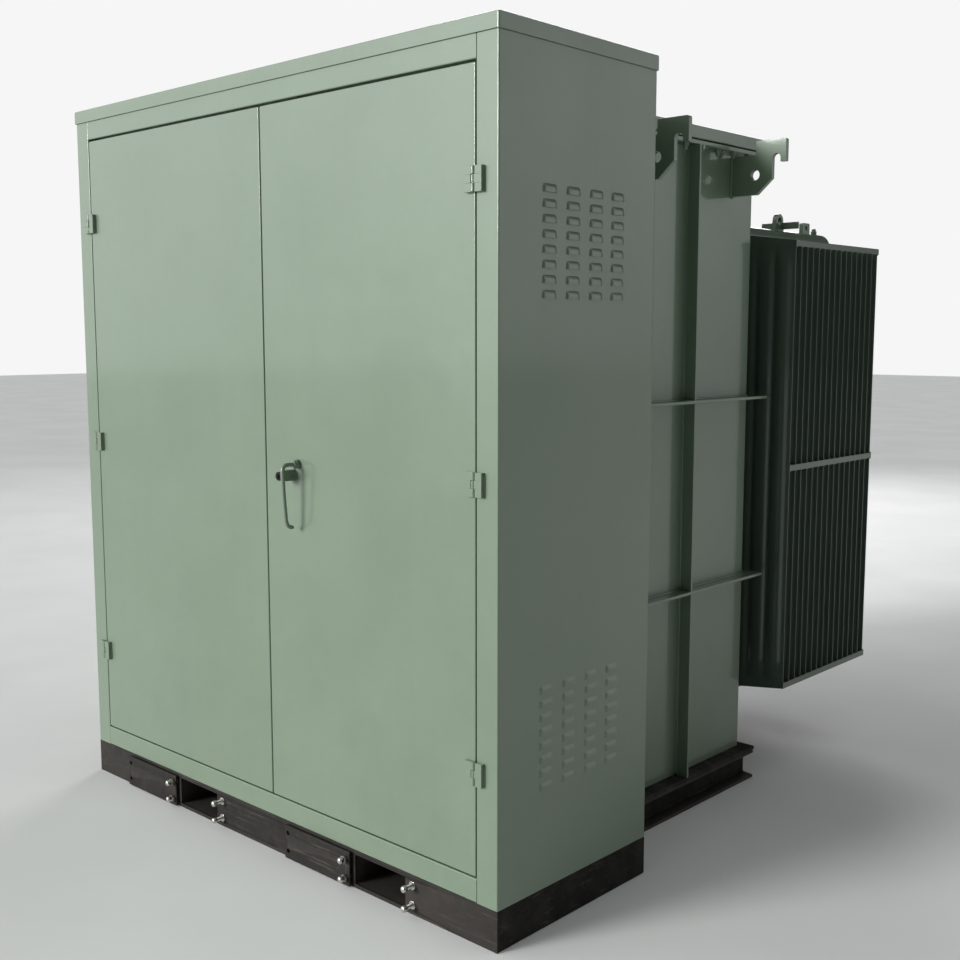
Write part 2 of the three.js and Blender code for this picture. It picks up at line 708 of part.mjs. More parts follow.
// ---------------------------------------------------------------- core and coils
function transformerCore() {
  const { limb, stack, pitch, bottom, yoke, window: opening, y } = CORE;
  const reach = pitch + limb / 2;
  const [y0, y1] = [y - stack / 2, y + stack / 2];
  const lowYoke = bottom + yoke;
  const highYoke = lowYoke + opening;
  const limbs = [-pitch, 0, pitch].map((x) => block(x - limb / 2, x + limb / 2, y0, y1, bottom, highYoke));
  const feet = [-pitch, pitch].map((x) =>
    block(x - 60, x + 60, y0 - 60, y1 + 60, BASE_HEIGHT + GAP, bottom + 10));
  return join([
    block(-reach, reach, y0, y1, bottom, lowYoke),
    block(-reach, reach, y0, y1, highYoke, highYoke + yoke),
    ...limbs,
    ...feet,
  ]);
}

add("core", transformerCore(), LAMINATION);

function coil(x) {
  const low = CORE.bottom + CORE.yoke + GAP;
  const high = low + CORE.window - 2 * GAP;
  return cut(bar("z", COIL.outer, [x, CORE.y], low, high, 24), [
    bar("z", COIL.inner, [x, CORE.y], low - 5, high + 5, 18),
  ]);
}

["left", "centre", "right"].forEach((place, index) => {
  add(`coil_${place}`, coil((index - 1) * CORE.pitch), PAPER);
});

// ---------------------------------------------------------------- high-voltage compartment
// A bushing well with its insert: a bolted flange on the tank wall and a tapered cone that points forwards.
function highVoltageBushing({ x, z }) {
  const profile = [
    [0, -40], [HV_SHANK, -40], [HV_SHANK, GAP], [58, GAP], [58, 14], [46, 22], [46, 60],
    [40, 66], [26, 150], [20, 152], [17, 96], [0, 96],
  ];
  return turned(profile, x, TANK.front, z, 12);
}

HV_BUSHINGS.forEach((place, index) => {
  add(`hv_bushing_${index + 1}`, highVoltageBushing(place), EPOXY);
});

// A drawout fuse: a fixed sleeve would hide it, so the holder and its hook-stick cap slide out together.
function fuseHolder({ x, z }) {
  const body = turned([[0, -170], [14, -170], [14, GAP], [17, GAP], [17, 62], [0, 62]], x, TANK.front, z, 12);
  const cap = turned([[0, 60], [27, 60], [27, 82], [20, 90], [0, 90]], x, TANK.front, z, 12);
  const eye = cut(block(x - 4, x + 4, TANK.front - 124, TANK.front - 88, z - 16, z + 16), [
    bar("x", 9, [TANK.front - 107, z], x - 10, x + 10, 12),
  ]);
  return join([body, cap, eye]);
}

FUSES.forEach((place, index) => add(`fuse_holder_${index + 1}`, fuseHolder(place), PORCELAIN));

// A rotary operating handle on a shaft through the tank wall, with an eye for the hook stick.
function operatingHandle({ x, z }, length) {
  const hub = turned([[0, -30], [10, -30], [10, GAP], [24, GAP], [24, 26], [0, 26]], x, TANK.front, z, 16);
  const arm = block(x - 11, x + 11, TANK.front - 24, TANK.front - 14, z - 20, z + length);
  const tip = bar("y", 17, [x, z + length], TANK.front - 24, TANK.front - 14, 16);
  return cut(join([hub, arm, tip]), [bar("y", 9, [x, z + length], TANK.front - 40, TANK.front, 12)]);
}

add("load_break_switch_handle", operatingHandle(SWITCH, 92), RED);
add("tap_changer_handle", operatingHandle(TAP_CHANGER, 62), RED);

// ---------------------------------------------------------------- low-voltage compartment
const SPADE = { height: 120, thick: 14, reach: 230 };

// A low-voltage bushing: a moulded flange and skirt, a stud, and an upright spade with four bolt holes.
function lowVoltageBushing({ x, z }) {
  const moulding = turned(
    [[0, -60], [LV_SHANK, -60], [LV_SHANK, GAP], [56, GAP], [56, 12], [40, 20], [30, 66], [22, 70], [22, 96], [0, 96]],
    x, TANK.front, z, 10);
  const from = TANK.front - SPADE.reach;
  const spade = block(
    x - SPADE.thick / 2, x + SPADE.thick / 2, from, TANK.front - 90, z - SPADE.height / 2, z + SPADE.height / 2);
  const holes = [];
  for (const y of [from + 28, from + 72]) {
    for (const rise of [-22, 22]) {
      holes.push(bar("x", 7, [y, z + rise], x - 20, x + 20, 8));
    }
  }
  return cut(join([moulding, spade]), holes);
}

LV_BUSHINGS.forEach((place, index) => add(`lv_bushing_x${index}`, lowVoltageBushing(place), COPPER));

function dialGauge([x, z], radius) {
  const profile = [
    [0, -40], [SMALL_SHANK, -40], [SMALL_SHANK, 22], [radius, 22], [radius, 52], [radius - 5, 52],
    [radius - 7, 48], [0, 48],
  ];
  return turned(profile, x, TANK.front, z, 18);
}

add("liquid_level_gauge", dialGauge(GAUGES.level, 52), DIAL);
add("thermometer_gauge", dialGauge(GAUGES.thermometer, 46), DIAL);

add(
  "pressure_relief_valve",
  turned([[0, -20], [SMALL_SHANK, -20], [SMALL_SHANK, 12], [20, 12], [20, 40], [9, 44], [9, 58], [0, 58]],
    RELIEF.x, TANK.front, RELIEF.z, 12),
  BRASS,
);
const reliefRingY = TANK.front - 66;
add(
  "relief_pull_ring",
  cut(bar("y", 17, [RELIEF.x, RELIEF.z], reliefRingY - 4, reliefRingY + 7.5, 20), [
    bar("y", 11, [RELIEF.x, RELIEF.z], reliefRingY - 10, reliefRingY + 3, 16),
  ]),
  STEEL,
);

// A drain valve: body on a short pipe, stem upwards with its handwheel, and a plugged outlet.
const VALVE_Y = TANK.front - 95;
function drainValve() {
  return join([
    bar("y", SMALL_SHANK, [DRAIN.x, DRAIN.z], VALVE_Y - 10, TANK.front + 40, 12),
    bar("y", 24, [DRAIN.x, DRAIN.z], VALVE_Y - 34, VALVE_Y + 34, 12),
    bar("y", 17, [DRAIN.x, DRAIN.z], VALVE_Y - 52, VALVE_Y - 30, 6),
    bar("z", 17, [DRAIN.x, VALVE_Y], DRAIN.z, DRAIN.z + 52, 12),
    bar("z", 6, [DRAIN.x, VALVE_Y], DRAIN.z + 45, DRAIN.z + 88, 10),
  ]);
}

function drainHandwheel() {
  const z = DRAIN.z + 74;
  const rim = cut(bar("z", 36, [DRAIN.x, VALVE_Y], z - 5, z + 5, 16), [
    bar("z", 28, [DRAIN.x, VALVE_Y], z - 10, z + 10, 16),
  ]);
  const spokes = join([
    block(DRAIN.x - 32, DRAIN.x + 32, VALVE_Y - 4, VALVE_Y + 4, z - 4, z + 4),
    block(DRAIN.x - 4, DRAIN.x + 4, VALVE_Y - 32, VALVE_Y + 32, z - 4, z + 4),
    bar("z", 12, [DRAIN.x, VALVE_Y], z - 9, z + 9, 10),
  ]);
  return cut(join([rim, spokes]), [bar("z", clearHole(6, 8), [DRAIN.x, VALVE_Y], z - 20, z + 20, 8)]);
}

add("drain_valve", drainValve(), BRASS);
add("drain_handwheel", drainHandwheel(), RED);

// A ground bar bolted across the tank's foot, on two stand-off legs.
function groundBar() {
  const [x0, x1, z] = [150, 600, 215];
  const legs = [x0 + 40, x1 - 40].map((x) => block(x - 20, x + 20, TANK.front - 40, TANK.front - GAP, z - 12, z + 12));
  const rail = block(x0, x1, TANK.front - 48, TANK.front - 38, z - 25, z + 25);
  const holes = [];
  for (let x = x0 + 100; x <= x1 - 100; x += 50) {
    holes.push(bar("y", 7, [x, z], TANK.front - 60, TANK.front - 20, 10));
  }
  return cut(join([rail, ...legs]), holes);
}

add("ground_bar", groundBar(), COPPER);

export default transformer;
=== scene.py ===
"""The looks of a pad-mounted transformer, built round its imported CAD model.

Everything below is built in millimetres, as x, depth behind the cabinet's front face, and height,
and is moved into the row frame in metres when it becomes an object.
"""

import json
import math
import random

import bmesh
import bpy
from mathutils import Matrix, Vector


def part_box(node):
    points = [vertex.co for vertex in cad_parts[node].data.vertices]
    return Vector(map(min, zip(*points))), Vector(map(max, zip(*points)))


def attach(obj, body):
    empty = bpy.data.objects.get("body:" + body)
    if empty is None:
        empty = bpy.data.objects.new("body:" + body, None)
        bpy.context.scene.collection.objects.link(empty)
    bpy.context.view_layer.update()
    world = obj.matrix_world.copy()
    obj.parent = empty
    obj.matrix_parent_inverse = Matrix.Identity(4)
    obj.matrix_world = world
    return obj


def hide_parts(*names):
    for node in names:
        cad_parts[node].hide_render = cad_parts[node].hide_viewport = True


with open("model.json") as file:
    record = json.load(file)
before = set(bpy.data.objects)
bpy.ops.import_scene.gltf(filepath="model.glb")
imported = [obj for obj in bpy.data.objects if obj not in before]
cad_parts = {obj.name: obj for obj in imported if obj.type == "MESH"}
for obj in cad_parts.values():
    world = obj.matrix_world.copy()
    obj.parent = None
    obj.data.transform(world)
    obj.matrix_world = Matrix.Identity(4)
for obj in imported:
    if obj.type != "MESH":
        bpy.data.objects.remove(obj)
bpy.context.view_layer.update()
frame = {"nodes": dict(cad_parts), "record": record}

MM = 0.001
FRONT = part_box("front_header")[0].y
TO_ROW = Matrix.Translation((0, FRONT, 0)) @ Matrix.Scale(MM, 4)
SHEET = 3
rng = random.Random(11)


def span(node):
    """x0, x1, depth0, depth1, z0, z1 of a CAD node, in millimetres."""
    low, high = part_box(node)
    low, high = [TO_ROW.inverted() @ corner for corner in (low, high)]
    return [round(value, 2) for pair in zip(low, high) for value in pair]


def centre_of(node):
    """x and height of a CAD node's middle, in millimetres."""
    x0, x1, _, _, z0, z1 = span(node)
    return (x0 + x1) / 2, (z0 + z1) / 2


# ---------------------------------------------------------------- materials
class Surface:
    """A principled material with short names for the nodes that feed it, in the object's own space."""

    def __init__(self, name, roughness=0.4, metallic=0.0, coat=0.0, coat_roughness=0.1):
        self.material = bpy.data.materials.new(name)
        self.material.use_nodes = True
        self.nodes = self.material.node_tree.nodes
        self.links = self.material.node_tree.links
        self.shader = self.nodes["Principled BSDF"]
        self.shader.inputs["Roughness"].default_value = roughness
        self.shader.inputs["Metallic"].default_value = metallic
        self.shader.inputs["Coat Weight"].default_value = coat
        self.shader.inputs["Coat Roughness"].default_value = coat_roughness
        self.place = self.nodes.new("ShaderNodeTexCoord").outputs["Object"]

    def plug(self, socket, value):
        if isinstance(value, bpy.types.NodeSocket):
            self.links.new(value, socket)
        else:
            socket.default_value = value

    def node(self, kind, **values):
        """A new node with its inputs set or linked. An underscore stands for a space in an input's name."""
        made = self.nodes.new(f"ShaderNode{kind}")
        for label, value in values.items():
            self.plug(made.inputs[label.replace("_", " ")], value)
        return made

    def noise(self, scale, detail, roughness, stretch=None):
        place = self.node("Mapping", Vector=self.place, Scale=stretch).outputs[0] if stretch else self.place
        made = self.node("TexNoise", Vector=place, Scale=scale, Detail=detail, Roughness=roughness)
        return made.outputs["Fac"]

    def height(self):
        return self.node("SeparateXYZ", Vector=self.place).outputs["Z"]

    def pointiness(self):
        return self.node("NewGeometry").outputs["Pointiness"]

    def wave(self, scale, axis, distortion):
        made = self.node("TexWave", Vector=self.place, Scale=scale, Distortion=distortion)
        made.bands_direction = axis
        return made.outputs["Fac"]

    def calc(self, operation, a, b):
        made = self.nodes.new("ShaderNodeMath")
        made.operation = operation
        self.plug(made.inputs[0], a)
        self.plug(made.inputs[1], b)
        return made.outputs[0]

    def between(self, value, low, high, to_low=0.0, to_high=1.0):
        """value carried from low..high to to_low..to_high, clamped."""
        made = self.node("MapRange", Value=value, From_Min=low, From_Max=high, To_Min=to_low, To_Max=to_high)
        made.interpolation_type = "SMOOTHSTEP"
        return made.outputs["Result"]

    def patches(self, scale, detail, roughness, low, high, to_low=0.0, to_high=1.0, stretch=None):
        """Noise carried from low..high to to_low..to_high, clamped."""
        return self.between(self.noise(scale, detail, roughness, stretch), low, high, to_low, to_high)

    def blend(self, factor, a, b):
        made = self.nodes.new("ShaderNodeMix")
        made.data_type = "RGBA"
        self.plug(made.inputs["Factor"], factor)
        self.plug(made.inputs[6], (*a, 1) if isinstance(a, tuple) else a)
        self.plug(made.inputs[7], (*b, 1) if isinstance(b, tuple) else b)
        return made.outputs[2]

    def tinted(self, base, mask, amount, tint):
        """base with an amount of tint where the mask lets it through."""
        return self.blend(self.calc("MULTIPLY", mask, amount), base, tint)

    def color(self, value):
        self.plug(self.shader.inputs["Base Color"], value)

    def rough(self, value):
        self.plug(self.shader.inputs["Roughness"], value)

    def bump(self, height, strength, distance, base=None):
        made = self.node("Bump", Strength=strength, Distance=distance, Height=height)
        if base is not None:
            self.links.new(base, made.inputs["Normal"])
        self.links.new(made.outputs["Normal"], self.shader.inputs["Normal"])
        return made.outputs["Normal"]


def enamel(name, tone, dusty, grime):
    """Sprayed and baked enamel: cloudy tone, fine dust low down, orange peel, and edges rubbed lighter."""
    s = Surface(name, coat=0.85, coat_roughness=0.09)
    dark = tuple(0.82 * c for c in tone)
    light = tuple(1.12 * c for c in tone)
    gloss = 0.34
    settled = s.calc("MULTIPLY", s.between(s.height(), 0.95, 0.05), s.patches(5, 5, 0.6, 0.3, 0.8))
    mixed = s.tinted(tone, s.patches(1.6, 4, 0.55, 0.35, 0.65), 0.35, light)
    mixed = s.tinted(mixed, s.patches(46, 5, 0.6, 0.4, 0.62), 0.10, dark)
    mixed = s.tinted(mixed, s.patches(9, 4, 0.6, 0.45, 0.78, stretch=(2.4, 2.4, 0.12)), 0.06, grime)
    mixed = s.tinted(mixed, settled, 0.12, dusty)
    s.color(s.tinted(mixed, s.between(s.pointiness(), 0.53, 0.6), 0.22, light))
    cloudy = s.patches(3.2, 4, 0.6, 0.3, 0.7, gloss, gloss + 0.12)
    s.rough(s.calc("ADD", cloudy, s.calc("MULTIPLY", settled, 0.22)))
    broad = s.bump(s.noise(14, 2, 0.4), 0.10, 0.004)
    s.bump(s.noise(420, 2, 0.5), 0.12, 0.0004, base=broad)
    return s.material


def black_coating(name):
    """The base's thick black coating, with tan dust, scuffs and rubbed edges."""
    s = Surface(name)
    s.shader.inputs["Specular IOR Level"].default_value = 0.14
    tone, tan = (0.0075, 0.0070, 0.0068), (0.085, 0.068, 0.054)
    mixed = s.tinted(tone, s.patches(7.5, 6, 0.68, 0.44, 0.72), 0.13, tan)
    mixed = s.tinted(mixed, s.patches(75, 4, 0.7, 0.52, 0.70), 0.11, tan)
    scuffs = s.patches(30, 5, 0.7, 0.57, 0.68, stretch=(0.12, 0.5, 2.6))
    mixed = s.tinted(mixed, scuffs, 0.20, (0.20, 0.175, 0.15))
    s.color(s.tinted(mixed, s.between(s.pointiness(), 0.53, 0.62), 0.35, (0.13, 0.115, 0.10)))
    s.rough(s.patches(16, 5, 0.6, 0.3, 0.7, 0.42, 0.80))
    broad = s.bump(s.noise(38, 4, 0.6), 0.22, 0.003)
    s.bump(s.noise(330, 3, 0.6), 0.20, 0.0006, base=broad)
    return s.material


def metal(name, tone, stain, roughness, grain=(1, 1, 1)):
    """Bare or plated metal with cloudy tarnish and a drawn grain."""
    s = Surface(name, metallic=1.0)
    tarnish = s.patches(26, 5, 0.65, 0.42, 0.68)
    speck = s.patches(240, 3, 0.6, 0.5, 0.7)
    s.color(s.tinted(s.tinted(tone, tarnish, 0.5, stain), speck, 0.25, stain))
    duller = s.between(tarnish, 0, 1, roughness, roughness + 0.18)
    s.rough(s.calc("ADD", duller, s.between(speck, 0, 1, 0, 0.08)))
    s.bump(s.noise(160, 4, 0.6, grain), 0.08, 0.0008)
    return s.material


def moulded(name, tone, light, roughness, coat=0.0, grain=500, dusty=(0.3, 0.28, 0.25)):
    """A moulded plastic, rubber or glaze: faint mottling, dust in it and a fine skin."""
    s = Surface(name, coat=coat, coat_roughness=0.08)
    mottle = s.patches(22, 4, 0.6, 0.38, 0.66)
    mixed = s.tinted(tone, mottle, 0.6, light)
    s.color(s.tinted(mixed, s.patches(190, 3, 0.6, 0.58, 0.72), 0.12, dusty))
    s.rough(s.between(mottle, 0, 1, roughness, roughness + 0.12))
    s.bump(s.noise(grain, 2, 0.5), 0.10, 0.0003)
    return s.material


def wrapped_paper(name):
    """Oiled kraft paper in lapped turns."""
    s = Surface(name, roughness=0.55)
    turns = s.wave(26, "Z", 0.6)
    fibre = s.patches(120, 5, 0.7, 0.35, 0.7, stretch=(1, 1, 0.2))
    mixed = s.blend(fibre, (0.36, 0.22, 0.085), (0.55, 0.38, 0.17))
    s.color(s.tinted(mixed, turns, 0.35, (0.20, 0.11, 0.04)))
    s.rough(s.between(fibre, 0, 1, 0.42, 0.62))
    s.bump(turns, 0.5, 0.0015)
    return s.material


def laminated_steel(name):
    """Thin oiled silicon-steel sheets seen on edge."""
    s = Surface(name, metallic=0.85)
    layers = s.wave(420, "Y", 0.2)
    tint = s.patches(9, 4, 0.6, 0.35, 0.65)
    mixed = s.blend(tint, (0.12, 0.13, 0.15), (0.22, 0.22, 0.23))
    s.color(s.tinted(mixed, layers, 0.35, (0.05, 0.05, 0.055)))
    s.rough(s.between(tint, 0, 1, 0.38, 0.55))
    s.bump(layers, 0.4, 0.0004)
    return s.material


def clear_lens(name):
    s = Surface(name, roughness=0.04, coat=0.5, coat_roughness=0.03)
    s.shader.inputs["Transmission Weight"].default_value = 0.92
    s.color(s.blend(s.patches(60, 4, 0.6, 0.5, 0.75), (0.93, 0.96, 0.95), (0.78, 0.80, 0.78)))
    s.rough(s.patches(140, 4, 0.6, 0.5, 0.8, 0.03, 0.16))
    return s.material


def studio_floor(name):
    s = Surface(name)
    s.color(s.blend(s.patches(1.1, 4, 0.5, 0.35, 0.65), (0.77, 0.77, 0.76), (0.81, 0.81, 0.80)))
    s.rough(s.patches(3, 4, 0.5, 0.3, 0.7, 0.75, 0.88))
    s.bump(s.noise(60, 3, 0.5), 0.05, 0.001)
    return s.material


MATERIALS = {
    "green_paint": enamel("green_enamel", (0.136, 0.190, 0.128), (0.21, 0.22, 0.17), (0.085, 0.115, 0.08)),
    "black_paint": black_coating("black_coating"),
    "red_paint": enamel("red_enamel", (0.36, 0.028, 0.018), (0.30, 0.18, 0.13), (0.10, 0.02, 0.015)),
    "zinc_steel": metal("zinc_plate", (0.62, 0.61, 0.57), (0.36, 0.34, 0.28), 0.24),
    "lamination": laminated_steel("laminations"),
    "brass": metal("cast_brass", (0.52, 0.33, 0.11), (0.27, 0.16, 0.06), 0.28),
    "copper": metal("bare_copper", (0.62, 0.24, 0.11), (0.25, 0.10, 0.05), 0.26, grain=(0.2, 1, 3)),
    "epoxy": moulded("black_epoxy", (0.018, 0.015, 0.014), (0.045, 0.038, 0.035), 0.34),
    "paper": wrapped_paper("oiled_paper"),
    "porcelain": moulded("grey_moulding", (0.16, 0.17, 0.18), (0.24, 0.25, 0.26), 0.24, coat=0.4),
    "dial": moulded("dial_white", (0.72, 0.72, 0.68), (0.80, 0.80, 0.76), 0.38, dusty=(0.5, 0.48, 0.42)),
    "gasket": moulded("nitrile_gasket", (0.010, 0.010, 0.010), (0.03, 0.03, 0.03), 0.62, grain=900),
}
# The radiators' enamel is the green enamel made darker: painted shade, standing in for the shade the
# radiators stand in.
RADIATOR_SHADED = enamel("radiator_enamel_painted_shade", (0.062, 0.090, 0.066), (0.13, 0.14, 0.11), (0.04, 0.055, 0.04))
LENS = clear_lens("lens")
FLOOR = studio_floor("studio_floor")

CAD_SLOTS = {part["node"]: part["material_slot"] for part in frame["record"]["subparts"]}
for node, obj in frame["nodes"].items():
    obj.data.materials.clear()
    obj.data.materials.append(MATERIALS[CAD_SLOTS[node]])


# ---------------------------------------------------------------- shapes
def loft(bm, rings, loop=False):
    """Faces between rings of the same number of points, with flat ends or joined end to end."""
    made = [[bm.verts.new(point) for point in ring] for ring in rings]
    for a, b in zip(made, made[1:] + made[:1] if loop else made[1:]):
        for i in range(len(a)):
            j = (i + 1) % len(a)
            bm.faces.new((a[i], a[j], b[j], b[i]))
    if not loop:
        bm.faces.new(list(reversed(made[0])))
        bm.faces.new(made[-1])


def along(axis, t, u, v):
    """The point at t along an axis and at u, v across it: u, v are y, z or x, z or x, y."""
    return {"x": (t, u, v), "y": (u, t, v), "z": (u, v, t)}[axis]


def block(bm, x0, x1, y0, y1, z0, z1):
    prism(bm, rectangle(x0, x1, y0, y1), "z", z0, z1)


def prism(bm, outline, axis, start, end):
    loft(bm, [[along(axis, t, u, v) for u, v in outline] for t in (start, end)])


def soften(points, radius, steps=3, only=None):
    """A closed outline with its corners rounded. only lists the corners to round."""
    rounded = []
    count = len(points)
    for i, corner in enumerate(points):
        if only is not None and i not in only:
            rounded.append(corner)
            continue
        here = Vector(corner)
        back, ahead = Vector(points[i - 1]) - here, Vector(points[(i + 1) % count]) - here
        reach = min(radius, back.length * 0.45, ahead.length * 0.45)
        first, last = here + back.normalized() * reach, here + ahead.normalized() * reach
        for k in range(steps + 1):
            t = k / steps
            rounded.append(tuple((1 - t) ** 2 * first + 2 * t * (1 - t) * here + t * t * last))
    return rounded


def rectangle(u0, u1, v0, v1, radius=0, steps=3):
    corners = [(u0, v0), (u1, v0), (u1, v1), (u0, v1)]
    return soften(corners, radius, steps) if radius else corners


def circle(u, v, radius, sides):
    turn = 2 * math.pi / sides
    return [(u + radius * math.cos(k * turn), v + radius * math.sin(k * turn)) for k in range(sides)]


def turned(bm, profile, axis, centre, sides=40, sign=1, origin=0, loop=False):
    """A turned piece: pairs of radius and distance along the axis from origin, in the direction of sign."""
    rings = []
    for radius, t in profile:
        rings.append([along(axis, origin + sign * t, u, v) for u, v in circle(*centre, radius, sides)])
    loft(bm, rings, loop)


def ring_of(bm, outer, inner, axis, start, end):
    """A closed band between two outlines with the same number of points."""
    def at(outline, t):
        return [along(axis, t, u, v) for u, v in outline]
    loft(bm, [at(outer, start), at(outer, end), at(inner, end), at(inner, start)], loop=True)


def path_frames(points):
    """A pair of cross directions at each point of a path, carried along it without twist."""
    tangents = []
    for i in range(len(points)):
        ahead = points[min(i + 1, len(points) - 1)] - points[max(i - 1, 0)]
        tangents.append(ahead.normalized())
    side = tangents[0].orthogonal().normalized()
    frames = []
    for tangent in tangents:
        side = (side - tangent * side.dot(tangent)).normalized()
        frames.append((side, tangent.cross(side)))
    return frames


def tube(bm, points, radius, sides=12):
    """A round tube along points. radius is a number or one number for each point."""
    points = [Vector(p) for p in points]
    radii = radius if isinstance(radius, list) else [radius] * len(points)
    turn = 2 * math.pi / sides
    rings = []
    for point, (a, b), r in zip(points, path_frames(points), radii):
        rings.append([point + r * (math.cos(k * turn) * a + math.sin(k * turn) * b) for k in range(sides)])
    loft(bm, rings)


def hoop(bm, axis, centre, t, radius, thickness, count, sides):
    """A round wire bent into a closed hoop across an axis."""
    points = circle(*centre, radius, count)
    tube(bm, [along(axis, t, u, v) for u, v in [*points, points[0]]], thickness, sides)


def weld(bm, start, end, size, pitch):
    """A weld bead: a low round ridge with a ripple at every pitch."""
    start, end = Vector(start), Vector(end)
    count = max(4, round((end - start).length / (pitch / 2)))
    points, radii = [], []
    for k in range(count + 1):
        points.append(start.lerp(end, k / count))
        ripple = 1 if k % 2 else 0.80
        radii.append(size * ripple * (0.92 + 0.16 * rng.random()) * (0.45 if k in (0, count) else 1))
    tube(bm, points, radii, 7)


def hexagon(u, v, across, turn=0.0):
    radius = across / math.sqrt(3)
    return [spot((u, v), radius, turn + k * math.pi / 3) for k in range(6)]


def hex_head(bm, axis, centre, base, sign, across, height, turn=0.0):
    """A washer and a hexagon head with a chamfered crown."""
    turned(bm, [(across * 0.62, 0), (across * 0.66, 0.6), (across * 0.66, 2)], axis, centre, 20, sign, base)
    hex_bar(bm, axis, centre, across, [(2, 1), (height - 1.2, 1), (height, 0.86)], sign, base, turn)


def bevelled(bm, width):
    edges = [e for e in bm.edges if len(e.link_faces) == 2 and e.calc_face_angle(0) > math.radians(40)]
    bmesh.ops.bevel(bm, geom=edges, offset=width, segments=2, profile=0.5, affect="EDGES", clamp_overlap=True)


def piece(name, bm, slot, body="root", replaces=(), bevel=0.0, smooth=50, material=None):
    """Finishes a mesh in millimetres into an object that rides on a body."""
    bmesh.ops.recalc_face_normals(bm, faces=bm.faces)
    if bevel:
        bevelled(bm, bevel)
    bm.transform(TO_ROW)
    mesh = bpy.data.meshes.new(name)
    bm.to_mesh(mesh)
    bm.free()
    mesh.polygons.foreach_set("use_smooth", [True] * len(mesh.polygons))
    mesh.set_sharp_from_angle(angle=math.radians(smooth))
    mesh.materials.append(material or MATERIALS[slot])
    obj = bpy.data.objects.new(name, mesh)
    bpy.context.scene.collection.objects.link(obj)
    weights = obj.modifiers.new("face_weighted_normals", "WEIGHTED_NORMAL")
    weights.keep_sharp = True
    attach(obj, body)
    if replaces:
        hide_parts(*replaces)
    return obj


def carve(obj, cutters):
    """Cuts solids out of a finished piece. Each cutter is a mesh in millimetres."""
    tools = []
    for bm in cutters:
        bmesh.ops.recalc_face_normals(bm, faces=bm.faces)
        bm.transform(TO_ROW)
        mesh = bpy.data.meshes.new("cutter")
        bm.to_mesh(mesh)
        bm.free()
        tool = bpy.data.objects.new("cutter", mesh)
        bpy.context.scene.collection.objects.link(tool)
        tools.append(tool)
        cut = obj.modifiers.new("cut", "BOOLEAN")
        cut.object = tool
        cut.solver = "EXACT"
    shading = obj.modifiers["face_weighted_normals"]
    shading.show_viewport = False
    bpy.context.view_layer.update()
    evaluated = obj.evaluated_get(bpy.context.evaluated_depsgraph_get())
    carved = bpy.data.meshes.new_from_object(evaluated)
    shading.show_viewport = True
    for cut in [m for m in obj.modifiers if m.type == "BOOLEAN"]:
        obj.modifiers.remove(cut)
    carved.set_sharp_from_angle(angle=math.radians(50))
    obj.data = carved
    for tool in tools:
        bpy.data.objects.remove(tool)


def solid(build, *args):
    """A new mesh with one shape in it."""
    bm = bmesh.new()
    build(bm, *args)
    return bm


def bore(axis, centre, radius, start, end, sides=32):
    """A round cutter for carve."""
    return solid(turned, [(radius, start), (radius, end)], axis, centre, sides)


def spot(centre, radius, angle):
    """The point at an angle on a circle."""
    return centre[0] + radius * math.cos(angle), centre[1] + radius * math.sin(angle)


def hex_bar(bm, axis, centre, across, levels, sign=1, origin=0, turn=0.0):
    """A hexagon bar. levels are pairs of distance along the axis and share of the full width."""
    rings = []
    for t, share in levels:
        outline = hexagon(*centre, across * share, turn)
        rings.append([along(axis, origin + sign * t, u, v) for u, v in outline])
    loft(bm, rings)


def on_tank(bm, profile, centre, sides=40):
    """A turned piece on the tank's front wall, with distances that run towards the doors."""
    turned(bm, profile, "y", centre, sides, -1, TANK_FRONT)


def ease_edges(node, width):
    """A small bevel on a CAD node that has no piece of its own."""
    rounding = frame["nodes"][node].modifiers.new("eased_edges", "BEVEL")
    rounding.width = width * MM
    rounding.segments = 2


def nut_ring(bm, centre, radius, count, depth, across, height):
    """Hexagon nuts evenly round a flange on the tank's front wall, the first at half a step."""
    for k in range(count):
        turn = (k + 0.5) * 2 * math.pi / count
        hex_head(bm, "y", spot(centre, radius, turn), TANK_FRONT - depth, -1, across, height, turn)


def strap(x, outer, inner):
    """The outline of a bent strap about x, from the halves of its outer and inner lines."""
    right = [(x + u, v) for u, v in reversed(outer)] + [(x + u, v) for u, v in inner]
    return [(x - u, v) for u, v in outer] + right + [(x - u, v) for u, v in reversed(inner)]


def rod_bar(place):
    """x0, x1, depth0 and depth1 of the upper or lower latch rod's long bar."""
    x0, x1, y0, y1 = span(f"latch_rod_{place}")[:4]
    return (x1 - ROD_WIDTH, x1, y0, y1) if place == "upper" else (x0, x0 + ROD_WIDTH, y0, y1)


def rod_hole(place, low, high):
    """A cutter round a latch rod's bar, clear of it all round."""
    x0, x1, y0, y1 = rod_bar(place)
    return solid(block, x0 - ROD_PLAY, x1 + ROD_PLAY, y0 - ROD_PLAY, y1 + ROD_PLAY, low, high)


# ---------------------------------------------------------------- sizes taken from the frame
WALL = span("cabinet_wall_right")
ROOF = span("cabinet_roof")
HEADER = span("front_header")
SILL = span("front_sill")
TANK = span("tank_shell")
BELTS = [span("tank_belt_lower"), span("tank_belt_upper")]
COVER = span("tank_cover")
HALF, REAR = WALL[1], WALL[3]
POST_INNER = HEADER[1] + 0.3
BELT_SIDE, BELT_REAR = 42, 56  # how far a belt stands off the tank's sides and rear
TANK_HALF, TANK_FRONT, TANK_REAR = BELTS[0][1] - BELT_SIDE, 600, BELTS[0][3] - BELT_REAR
FUSE_Z = centre_of("fuse_holder_1")[1]
HANDLE_BOSS = 24  # from a hook-stick handle's lower end to its shaft
SWITCH_Z = span("load_break_switch_handle")[4] + HANDLE_BOSS
TAP_Z = span("tap_changer_handle")[4] + HANDLE_BOSS
FOLD = 3.5  # outer radius of the sheet's folds
STOP = 35  # depth of the door frame's stop lip
ROD_WIDTH, ROD_PLAY = 20, 3
BASE_TOP = 109

